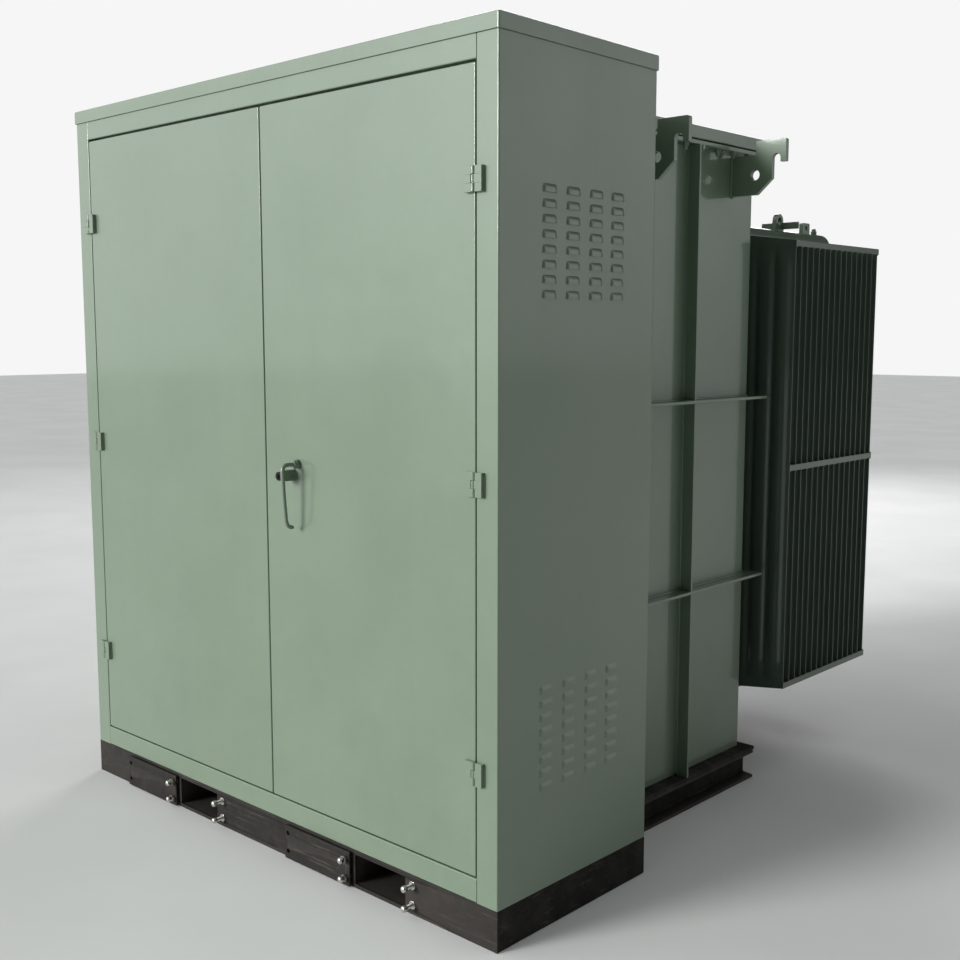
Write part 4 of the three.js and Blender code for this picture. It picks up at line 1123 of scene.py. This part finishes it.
def fin(bm, x, y):
    """One pressed fin: two skins that meet in a seam round the edge and swell into vertical flutes."""
    shares, rows = fin_stations(), fin_rows()
    height, low, high = FIN_HIGH - FIN_LOW, FLUTE_LOW - FIN_LOW, FLUTE_HIGH - FIN_LOW
    shoulder, level = 24, 62  # how far the ends rise towards the pipes, and how wide their level part is
    skins = []
    for face in (-1, 1):
        grid = []
        for row in rows:
            line = []
            mask = smooth_step(row, low - 16, low + 34) * (1 - smooth_step(row, high - 34, high + 16))
            for share in shares:
                across = -FIN_HALF + 2 * FIN_HALF * share
                middle = 1 - min(1.0, max(0.0, (abs(across) - level) / (FIN_HALF - level)))
                z = FIN_LOW - shoulder * middle + (height + 2 * shoulder * middle) * row / height
                near_pipe = smooth_step(96 - abs(across), 0, 40)
                near_pipe *= smooth_step(abs(row - height / 2), 700, 735)
                swell = SEAM_HALF + FLUTE_RISE * flute_height(share) * mask + 3.0 * near_pipe
                line.append(bm.verts.new((x + across, y + face * swell, z)))
            grid.append(line)
        skins.append(grid)
        for a, b in zip(grid, grid[1:]):
            for i in range(len(shares) - 1):
                bm.faces.new((a[i], a[i + 1], b[i + 1], b[i]))
    front, back = skins
    last = len(shares) - 1
    for r in range(len(rows) - 1):
        for i in (0, last):
            bm.faces.new((front[r][i], front[r + 1][i], back[r + 1][i], back[r][i]))
    for i in range(last):
        for r in (0, -1):
            bm.faces.new((front[r][i], front[r][i + 1], back[r][i + 1], back[r][i]))


def header_pipes(bm, x, end):
    dome = [(PIPE_RADIUS, TANK_REAR - 2), (PIPE_RADIUS, end - 20)]
    dome += [(PIPE_RADIUS * math.cos(a), end - 20 + 20 * math.sin(a)) for a in (0.35, 0.7, 1.0, 1.25, 1.42)]
    fillet = [(PIPE_RADIUS + 5, -1), (PIPE_RADIUS + 4, 4), (PIPE_RADIUS, 8)]
    for level in PIPE_LEVELS:
        turned(bm, dome, "y", (x, level))
        turned(bm, fillet, "y", (x, level), 40, 1, TANK_REAR)


def radiator_fittings(x, place):
    """Tie bars with their scalloped welds, lifting eye, cross bar, lug and drain plug."""
    first, last = FIN_FIRST - 6, FIN_FIRST + (FIN_COUNT - 1) * FIN_PITCH + 6
    bm = bmesh.new()
    for side in (-1, 1):
        edge = x + side * FIN_HALF
        for low, high in ((FIN_HIGH - 20, FIN_HIGH - 1), (1061, 1081), (FIN_LOW + 1, FIN_LOW + 21)):
            block(bm, *sorted((edge - side * 0.5, edge + side * 3.6)), first, last, low, high)
    piece(f"radiator_tie_bars_{place}", bm, "green_paint", bevel=0.7, material=RADIATOR_SHADED)
    beads = bmesh.new()
    for side in (-1, 1):
        edge = x + side * (FIN_HALF + 1.2)
        for z in (FIN_HIGH - 21.5, 1060, 1082, FIN_LOW + 22):
            for k in range(FIN_COUNT):
                y = FIN_FIRST + k * FIN_PITCH
                weld(beads, (edge, y - 5, z), (edge, y + 5, z), 2.7, 3)
    piece(f"radiator_welds_{place}", beads, "green_paint", smooth=60, material=RADIATOR_SHADED)
    top, bottom = PIPE_LEVELS[1] + PIPE_RADIUS, PIPE_LEVELS[0] - PIPE_RADIUS
    eye = bmesh.new()
    outline = [(1850, top - 6), (1914, top - 6), (1907, top + 32)]
    for k in range(1, 12):
        a = math.pi * k / 12
        outline.append((1882 + 25 * math.cos(a), top + 34 + 24 * math.sin(a)))
    prism(eye, [*outline, (1857, top + 32)], "x", x - 8, x + 8)
    lug = [(2052, top - 4), (2106, top - 4), (2106, top + 38), (2052, top + 38)]
    prism(eye, soften(lug, 7, 4, only=(2, 3)), "x", x - 7, x + 7)
    block(eye, x - 73, x + 73, 1896, 1904, top + 4, top + 28)
    cap = [(11, top - 3), (11, top + 12), (8, top + 13), (8, top + 20), (7, top + 21)]
    turned(eye, cap, "z", (x, PLUG_DEPTH), 24)
    eye_piece = piece(f"radiator_eye_{place}", eye, "green_paint", bevel=0.9)
    holes = ((1882, top + 32, 14), (2079, top + 19, 9))
    carve(eye_piece, [bore("x", (y, z), radius, x - 14, x + 14) for y, z, radius in holes])
    plug = bmesh.new()
    turned(plug, [(12, 0), (12, 9), (10, 10)], "z", (x, PLUG_DEPTH), 24, -1, bottom + 5)
    hex_bar(plug, "z", (x, PLUG_DEPTH), 17, [(0, 1), (9, 1), (10, 0.85)], -1, bottom - 4)
    piece(f"radiator_drain_plug_{place}", plug, "brass", bevel=0.4)


def radiator(place):
    node = f"radiator_{place}"
    x, end = centre_of(node)[0], span(node)[3]
    bm = bmesh.new()
    for k in range(FIN_COUNT):
        fin(bm, x, FIN_FIRST + k * FIN_PITCH)
    # The fins, tie bars and welds take the darker enamel: painted shade.
    piece(f"{node}_fins", bm, "green_paint", replaces=(node,), smooth=60, material=RADIATOR_SHADED)
    pipes = bmesh.new()
    header_pipes(pipes, x, end)
    piece(f"{node}_header_pipes", pipes, "green_paint")
    radiator_fittings(x, place)


for place in ("left", "centre", "right"):
    radiator(place)


# ---------------------------------------------------------------- high-voltage side
def high_voltage_bushing(node):
    centre = centre_of(node)
    bm = bmesh.new()
    profile = [(34, -38), (34, 0.4), (57, 0.4), (58, 1.6), (58, 12), (56, 14), (47, 22), (46, 24)]
    for k in range(5):
        t = 26 + k * 7
        profile += [(46, t), (48.4, t + 1.4), (48.4, t + 3.2), (46, t + 4.8)]
    profile += [(45.5, 61), (40, 66), (38.5, 74), (33, 108), (27.2, 145), (26, 149), (24.6, 151.4), (21, 152)]
    profile += [(18, 150.5), (17, 147), (17, 97)]
    on_tank(bm, profile, centre, 48)
    piece(f"{node}_moulding", bm, "epoxy", replaces=(node,), smooth=35)
    ring = bmesh.new()
    on_tank(ring, [(24, 14), (50, 14), (51, 15), (51, 18), (50, 19), (47, 19.4), (47, 14.2)], centre)
    nut_ring(ring, centre, 53, 6, 12, 10, 7)
    piece(f"{node}_clamp", ring, "zinc_steel", smooth=35)
    contact = solid(on_tank, [(15.5, 98), (15.5, 99), (7, 99.5), (6.6, 120), (6, 122)], centre, 32)
    piece(f"{node}_contact", contact, "copper", smooth=40)


def fuse_holder(node, body):
    x, z = centre_of(node)[0], FUSE_Z
    bm = bmesh.new()
    profile = [(13, -168), (14, -167), (14, 0), (17, 0.4), (17, 40), (19, 42), (19, 46), (17, 48), (17, 59)]
    profile += [(25, 60), (26.4, 61.4), (27, 64), (27, 79), (25.6, 82), (21, 86), (19.6, 89), (17, 90)]
    on_tank(bm, profile, (x, z))
    for k in range(12):
        grip = spot((x, z), 26.4, k * math.pi / 6)
        on_tank(bm, [(1.4, 64), (2.0, 66), (2.0, 77), (1.4, 79)], grip, 8)
    piece(f"{node}_body", bm, "porcelain", body, replaces=(node,), smooth=40)
    eye = bmesh.new()
    loop = []
    for k in range(25):
        a = 2 * math.pi * k / 24
        loop.append((x, TANK_FRONT - 107 - 12.6 * math.cos(a), z + 12.6 * math.sin(a)))
    tube(eye, loop, 3.6, 12)
    on_tank(eye, [(8, 88), (7, 92), (5, 95.5)], (x, z), 24)
    piece(f"{node}_pull_eye", eye, "brass", body, smooth=60)
    well = bmesh.new()
    ring = [(22, 0.4), (36, 0.4), (37, 1.6), (37, 8), (36, 9.4), (28, 10), (27, 30), (25.6, 32), (23.6, 32),
            (22, 30)]
    turned(well, ring, "y", (x, z), 44, -1, TANK_FRONT, loop=True)
    nut_ring(well, (x, z), 31.4, 4, 9, 7, 5)
    piece(f"{node}_well_flange", well, "zinc_steel", smooth=35)


def operating_handle(node, body, z, length, travel):
    """A cast hook-stick handle over its backing plate, which carries a raised dot at each position."""
    x = centre_of(node)[0]
    arm = bmesh.new()
    outline = [(x - 15, z - 12), (x - 10, z - 21), (x + 10, z - 21), (x + 15, z - 12), (x + 12, z + 30)]
    outline.append((x + 11, z + length - 14))
    outline += [spot((x, z + length), 17, -0.5 + k * (math.pi + 1.0) / 12) for k in range(13)]
    outline += [(x - 11, z + length - 14), (x - 12, z + 30)]
    prism(arm, outline, "y", TANK_FRONT - 24, TANK_FRONT - 14)
    on_tank(arm, [(22.6, 0.6), (24, 2), (24, 23), (22.4, 26), (12, 26.4), (11, 28), (9, 28.4)], (x, z))
    made = piece(f"{node}_casting", arm, "red_paint", body, replaces=(node,), bevel=1.3)
    carve(made, [bore("y", (x, z + length), 9, TANK_FRONT - 34, TANK_FRONT - 6)])
    shaft = solid(on_tank, [(9.4, -29), (10, -28), (10, 2)], (x, z), 28)
    hex_head(shaft, "y", (x, z), TANK_FRONT - 28.2, -1, 15, 8)
    piece(f"{node}_shaft", shaft, "zinc_steel", body, smooth=35)
    plate = bmesh.new()
    ring_of(plate, circle(x, z, 64, 48), circle(x, z, 26, 48), "y", TANK_FRONT - 2.4, TANK_FRONT - 0.3)
    for a in travel:
        dot = (x + 54 * math.sin(math.radians(a)), z + 54 * math.cos(math.radians(a)))
        on_tank(plate, [(4.6, 2), (4.6, 3.4), (3.6, 4.2)], dot, 20)
    for k in range(4):
        rivet = spot((x, z), 38, math.pi / 4 + k * math.pi / 2)
        on_tank(plate, [(3.6, 2), (3.4, 3.6), (2, 4.2)], rivet, 14)
    piece(f"{node}_position_plate", plate, "zinc_steel", smooth=35)


for index in (1, 2, 3):
    high_voltage_bushing(f"hv_bushing_{index}")
    fuse_holder(f"fuse_holder_{index}", f"fuse_{index}")
operating_handle("load_break_switch_handle", "switch_handle", SWITCH_Z, 92, (0, -90))
operating_handle("tap_changer_handle", "tap_handle", TAP_Z, 62, (-60, -30, 0, 30, 60))


# ---------------------------------------------------------------- low-voltage side
SPADE_HALF, SPADE_RISE, SPADE_REACH = 7, 60, 230


def low_voltage_bushing(node):
    x, z = centre_of(node)
    profile = [(26, -58), (26, 0.4), (55, 0.4), (56, 1.6), (56, 10), (54.5, 12), (41, 18), (39, 20)]
    for k in range(4):
        t = 22 + k * 10
        r = 38 - k * 2
        profile += [(r, t), (r + 4.5, t + 2.4), (r + 4.5, t + 4), (r - 1, t + 7)]
    profile += [(29, 64), (24, 69), (22, 70)]
    piece(f"{node}_moulding", solid(on_tank, profile, (x, z), 44), "epoxy", smooth=35)
    stud = solid(on_tank, [(21, 69), (21, 94), (20, 96)], (x, z), 36)
    hex_bar(stud, "y", (x, z), 50, [(72, 0.95), (73, 1), (84, 1), (85, 0.95)], -1, TANK_FRONT)
    tip = TANK_FRONT - SPADE_REACH
    spade = rectangle(tip, TANK_FRONT - 90, z - SPADE_RISE, z + SPADE_RISE, 8, 5)
    prism(stud, spade, "x", x - SPADE_HALF, x + SPADE_HALF)
    made = piece(f"{node}_spade", stud, "copper", replaces=(node,), bevel=0.9)
    places = [(y, z + rise) for y in (tip + 28, tip + 72) for rise in (-22, 22)]
    carve(made, [bore("x", place, 7, x - 14, x + 14, 28) for place in places])
    ring = bmesh.new()
    nut_ring(ring, (x, z), 48, 4, 11.4, 11, 7)
    piece(f"{node}_flange_nuts", ring, "zinc_steel", smooth=35)


def dial_gauge(name, node, radius, ticks, sweep, pointer):
    """A dial behind a bezel: case, face with generic ticks, pointer, hub and lens."""
    x, z = centre_of(node)
    profile = [(11, -38), (11, 21), (radius - 4, 22), (radius, 25), (radius, 49), (radius - 1.6, 51.6)]
    profile += [(radius - 5, 52), (radius - 6.4, 50.6), (radius - 6.8, 45)]
    case = solid(on_tank, profile, (x, z), 56)
    piece(f"{name}_case", case, "zinc_steel", replaces=(node,), smooth=35)
    face = solid(on_tank, [(radius - 7, 44.8), (radius - 7, 45.8)], (x, z), 56)
    piece(f"{name}_face", face, "dial", smooth=40)

    def on_dial(bm, angle, shape, low, high):
        """A flat mark. shape is pairs of distance out from the middle and across."""
        out = Vector((math.sin(angle), math.cos(angle)))
        across = Vector((math.cos(angle), -math.sin(angle)))
        corners = [out * u + across * v for u, v in shape]
        prism(bm, [(x + c.x, z + c.y) for c in corners], "y", TANK_FRONT - low, TANK_FRONT - high)

    marks = bmesh.new()
    for k in range(ticks + 1):
        is_long = k % 5 == 0
        inner, outer = radius - (19 if is_long else 14), radius - 10
        width = 0.9 if is_long else 0.45
        tick = [(inner, -width), (inner, width), (outer, width), (outer, -width)]
        on_dial(marks, math.radians(-sweep / 2 + k * sweep / ticks), tick, 46.3, 45.9)
    piece(f"{name}_ticks", marks, "epoxy", smooth=40)
    hand = bmesh.new()
    shape = [(radius - 15, 0), (0, 2.2), (-11, 1.6), (-11, -1.6), (0, -2.2)]
    on_dial(hand, math.radians(pointer), shape, 47.6, 46.8)
    on_tank(hand, [(4.4, 46.4), (4.4, 48), (3.4, 48.8)], (x, z), 24)
    piece(f"{name}_pointer", hand, "red_paint", smooth=40)
    window = [(radius - 6.8, 49.4), (radius - 6.8, 50.4), ((radius - 7) * 0.5, 51.2), (2, 51.4)]
    lens = solid(on_tank, window, (x, z), 48)
    piece(f"{name}_lens", lens, "dial", smooth=60, material=LENS)


def relief_valve():
    centre = centre_of("pressure_relief_valve")
    profile = [(11, -18), (11, 12), (20, 12.4), (20, 38), (18.6, 40), (10, 43), (9, 45), (9, 57), (8, 58)]
    bm = solid(on_tank, profile, centre, 36)
    hex_bar(bm, "y", centre, 38, [(1, 0.96), (2, 1), (11, 1), (12, 0.96)], -1, TANK_FRONT)
    piece("relief_valve_body", bm, "brass", replaces=("pressure_relief_valve",), smooth=35)
    ring = bmesh.new()
    hoop(ring, "y", centre, TANK_FRONT - 67, 13.6, 2.2, 32, 12)
    on_tank(ring, [(8.6, 58.4), (9, 59), (9, 63), (12.4, 64.6), (12.8, 66), (8, 67)], centre, 32)
    piece("relief_ring_pull", ring, "zinc_steel", "relief_ring", replaces=("relief_pull_ring",))


def drain_assembly():
    x, z = centre_of("drain_valve")[0], span("drain_valve")[4] + 24
    depth = TANK_FRONT - 95
    level = z + 74  # the handwheel's middle
    bm = bmesh.new()
    turned(bm, [(11, TANK_FRONT + 38), (11, depth - 10)], "y", (x, z), 28)
    turned(bm, [(15, TANK_FRONT - 0.5), (15, TANK_FRONT - 12), (13, TANK_FRONT - 15)], "y", (x, z), 28)
    body = [(15, -34), (22, -33), (24, -31), (24, -22), (19, -18), (22, -8), (24, 0), (22, 8), (19, 18),
            (24, 22), (24, 31), (22, 33), (15, 34)]
    turned(bm, body, "y", (x, z), 36, -1, depth)
    bonnet = [(20, 2), (17, 22), (17, 40), (15, 43), (15, 50), (13, 52)]
    turned(bm, bonnet, "z", (x, depth), 32, 1, z)
    hex_bar(bm, "z", (x, depth), 26, [(30, 0.96), (31, 1), (40, 1), (41, 0.96)], 1, z)
    turned(bm, [(6, 45), (6, 86), (5, 88)], "z", (x, depth), 24, 1, z)
    hex_bar(bm, "y", (x, z), 30, [(33, 1), (50, 1), (52, 0.92)], -1, depth)
    piece("drain_valve_body", bm, "brass", replaces=("drain_valve",), smooth=35)
    wheel = bmesh.new()
    hoop(wheel, "z", (x, depth), level, 31.6, 4.3, 48, 14)
    for k in range(4):
        a = k * math.pi / 2
        spoke = [(*spot((x, depth), r, a), level + 1.4 * math.sin(r / 9)) for r in (9, 15, 21, 27, 30)]
        tube(wheel, spoke, [4.2, 3.6, 3.2, 3.2, 3.6], 12)
    hub = [(7.0, -9), (12, -9), (12, 8), (11, 9), (7.0, 9)]
    turned(wheel, hub, "z", (x, depth), 32, 1, level, loop=True)
    piece("drain_handwheel_casting", wheel, "red_paint", "drain_wheel", replaces=("drain_handwheel",))


def ground_bar():
    x0, x1, y0, _, z0, z1 = span("ground_bar")
    z, margin, pitch = (z0 + z1) / 2, 100, 50
    bm = bmesh.new()
    prism(bm, rectangle(x0, x1, z0, z1, 3, 3), "y", y0, y0 + 10)
    bar = piece("ground_bar_rail", bm, "copper", replaces=("ground_bar",), bevel=0.9)
    count = int((x1 - x0 - 2 * margin) / pitch) + 1
    carve(bar, [bore("y", (x0 + margin + pitch * k, z), 7, y0 - 5, y0 + 15, 24) for k in range(count)])
    legs = bmesh.new()
    for x in (x0 + 40, x1 - 40):
        prism(legs, rectangle(x - 20, x + 20, z - 12, z + 12, 3, 3), "y", y0 + 9.8, TANK_FRONT - 0.3)
        hex_head(legs, "y", (x, z), y0 + 0.1, -1, 17, 9, 0.4)
    piece("ground_bar_stand_offs", legs, "zinc_steel", bevel=0.7)


def rating_plate():
    """A blank plate on four rivets."""
    bm = bmesh.new()
    x0, x1, z0, z1 = 590, 690, 1560, 1680
    prism(bm, rectangle(x0, x1, z0, z1, 5, 4), "y", TANK_FRONT - 1.8, TANK_FRONT - 0.3)
    for x in (x0 + 7, x1 - 7):
        for z in (z0 + 7, z1 - 7):
            on_tank(bm, [(3, 1.6), (2.8, 2.8), (1.6, 3.4)], (x, z), 16)
    piece("blank_rating_plate", bm, "zinc_steel", smooth=40)


for index in range(4):
    low_voltage_bushing(f"lv_bushing_x{index}")
dial_gauge("level_gauge", "liquid_level_gauge", 52, 10, 150, 28)
dial_gauge("thermometer", "thermometer_gauge", 46, 20, 270, -62)
relief_valve()
drain_assembly()
ground_bar()
rating_plate()


# ---------------------------------------------------------------- barrier, core and coils
def barrier_edges():
    """A rubber edge strip on the barrier's front flange."""
    x0, _, y0, _, z0, z1 = span("compartment_barrier")
    bm = bmesh.new()
    prism(bm, rectangle(x0 + 1, x0 + 19, y0 - 5, y0 - 0.2, 2, 3), "z", z0 + 10, z1 - 10)
    piece("barrier_edge_seal", bm, "gasket", smooth=40)


def coil_windings(node):
    """Layered turns round an open middle, where the inner winding and the core stand."""
    x0, x1, y0, y1, z0, z1 = span(node)
    outer, inner, turns = (x1 - x0) / 2, 155, 30
    pitch = (z1 - z0 - 4) / turns
    profile = []
    for k in range(turns):
        low = z0 + 2 + k * (z1 - z0 - 4) / turns
        profile += [(outer - 2.5, low), (outer - 0.3, low + 4), (outer - 0.3, low + pitch - 4)]
    profile += [(outer - 2.5, z1 - 2), (inner + 2, z1 - 2), (inner + 2, z0 + 2)]
    bm = bmesh.new()
    turned(bm, profile, "z", ((x0 + x1) / 2, (y0 + y1) / 2), loop=True)
    piece(f"{node}_windings", bm, "paper", replaces=(node,), smooth=40)


barrier_edges()
for node in ("coil_left", "coil_centre", "coil_right"):
    coil_windings(node)
ease_edges("core", 0.8)
ease_edges("compartment_barrier", 0.8)


# ---------------------------------------------------------------- studio
CAMERA_PLACE = (2.837, -3.175, 1.522)
CAMERA_YAW, CAMERA_PITCH, CAMERA_LENS = 42.98, 6.9, 45.44


def camera():
    data = bpy.data.cameras.new("camera")
    data.lens, data.sensor_width = CAMERA_LENS, 36
    obj = bpy.data.objects.new("camera", data)
    obj.location = CAMERA_PLACE
    yaw, pitch = math.radians(CAMERA_YAW), math.radians(CAMERA_PITCH)
    look = Vector((-math.sin(yaw) * math.cos(pitch), math.cos(yaw) * math.cos(pitch), -math.sin(pitch)))
    obj.rotation_mode = "QUATERNION"
    obj.rotation_quaternion = look.to_track_quat("-Z", "Y")
    bpy.context.scene.collection.objects.link(obj)
    bpy.context.scene.camera = obj


def aim(name, data, place, target):
    obj = bpy.data.objects.new(name, data)
    obj.location = place
    obj.rotation_mode = "QUATERNION"
    obj.rotation_quaternion = (Vector(target) - Vector(place)).to_track_quat("-Z", "Y")
    bpy.context.scene.collection.objects.link(obj)


def studio():
    reach = 40
    corners = [(-reach, -reach, 0), (reach, -reach, 0), (reach, reach, 0), (-reach, reach, 0)]
    floor_mesh = bpy.data.meshes.new("studio_floor")
    floor_mesh.from_pydata(corners, [], [(0, 1, 2, 3)])
    floor_mesh.materials.append(FLOOR)
    floor = bpy.data.objects.new("studio_floor", floor_mesh)
    bpy.context.scene.collection.objects.link(floor)
    sun = bpy.data.lights.new("key_light", "SUN")
    sun.energy, sun.angle = 3.2, math.radians(20)
    aim("key_light", sun, (-3.6, -9.0, 3.2), (0, 0, 0.8))
    rear = bpy.data.lights.new("rear_light", "AREA")
    rear.shape, rear.size, rear.energy = "DISK", 4.5, 260
    aim("rear_light", rear, (-4.5, 7.0, 4.5), (0, 0.6, 1.0))


def sky():
    """A soft sky, brightest low in front on the left, with a glow behind on the right and one overhead."""
    world = bpy.data.worlds.new("studio_sky")
    world.use_nodes = True
    nodes, links = world.node_tree.nodes, world.node_tree.links
    direction = nodes.new("ShaderNodeTexCoord").outputs["Generated"]

    def glow(toward, low, high, strength):
        dot = nodes.new("ShaderNodeVectorMath")
        dot.operation = "DOT_PRODUCT"
        dot.inputs[1].default_value = Vector(toward).normalized()
        links.new(direction, dot.inputs[0])
        ramp = nodes.new("ShaderNodeMapRange")
        ramp.interpolation_type = "SMOOTHSTEP"
        ramp.inputs["From Min"].default_value = low
        ramp.inputs["From Max"].default_value = high
        ramp.inputs["To Max"].default_value = strength
        links.new(dot.outputs["Value"], ramp.inputs["Value"])
        return ramp.outputs["Result"]

    def added(a, b):
        node = nodes.new("ShaderNodeMath")
        node.operation = "ADD"
        links.new(a, node.inputs[0])
        if isinstance(b, float):
            node.inputs[1].default_value = b
        else:
            links.new(b, node.inputs[1])
        return node.outputs[0]

    total = added(glow((-0.62, -0.72, 0.34), 0.50, 0.99, 1.3), glow((0.70, 0.70, 0.22), 0.90, 0.995, 1.0))
    total = added(added(glow((0.25, 0.1, 1), 0.80, 1.0, 0.8), total), 0.035)
    light = nodes["Background"]
    light.inputs["Color"].default_value = (0.96, 0.99, 1.0, 1)
    links.new(total, light.inputs["Strength"])
    backdrop = nodes.new("ShaderNodeBackground")
    backdrop.inputs["Color"].default_value = (0.92, 0.92, 0.92, 1)
    choice = nodes.new("ShaderNodeMixShader")
    links.new(nodes.new("ShaderNodeLightPath").outputs["Is Camera Ray"], choice.inputs["Fac"])
    links.new(light.outputs["Background"], choice.inputs[1])
    links.new(backdrop.outputs["Background"], choice.inputs[2])
    links.new(choice.outputs["Shader"], nodes["World Output"].inputs["Surface"])
    bpy.context.scene.world = world
    bpy.context.scene.view_settings.view_transform = "Standard"


camera()
studio()
sky()
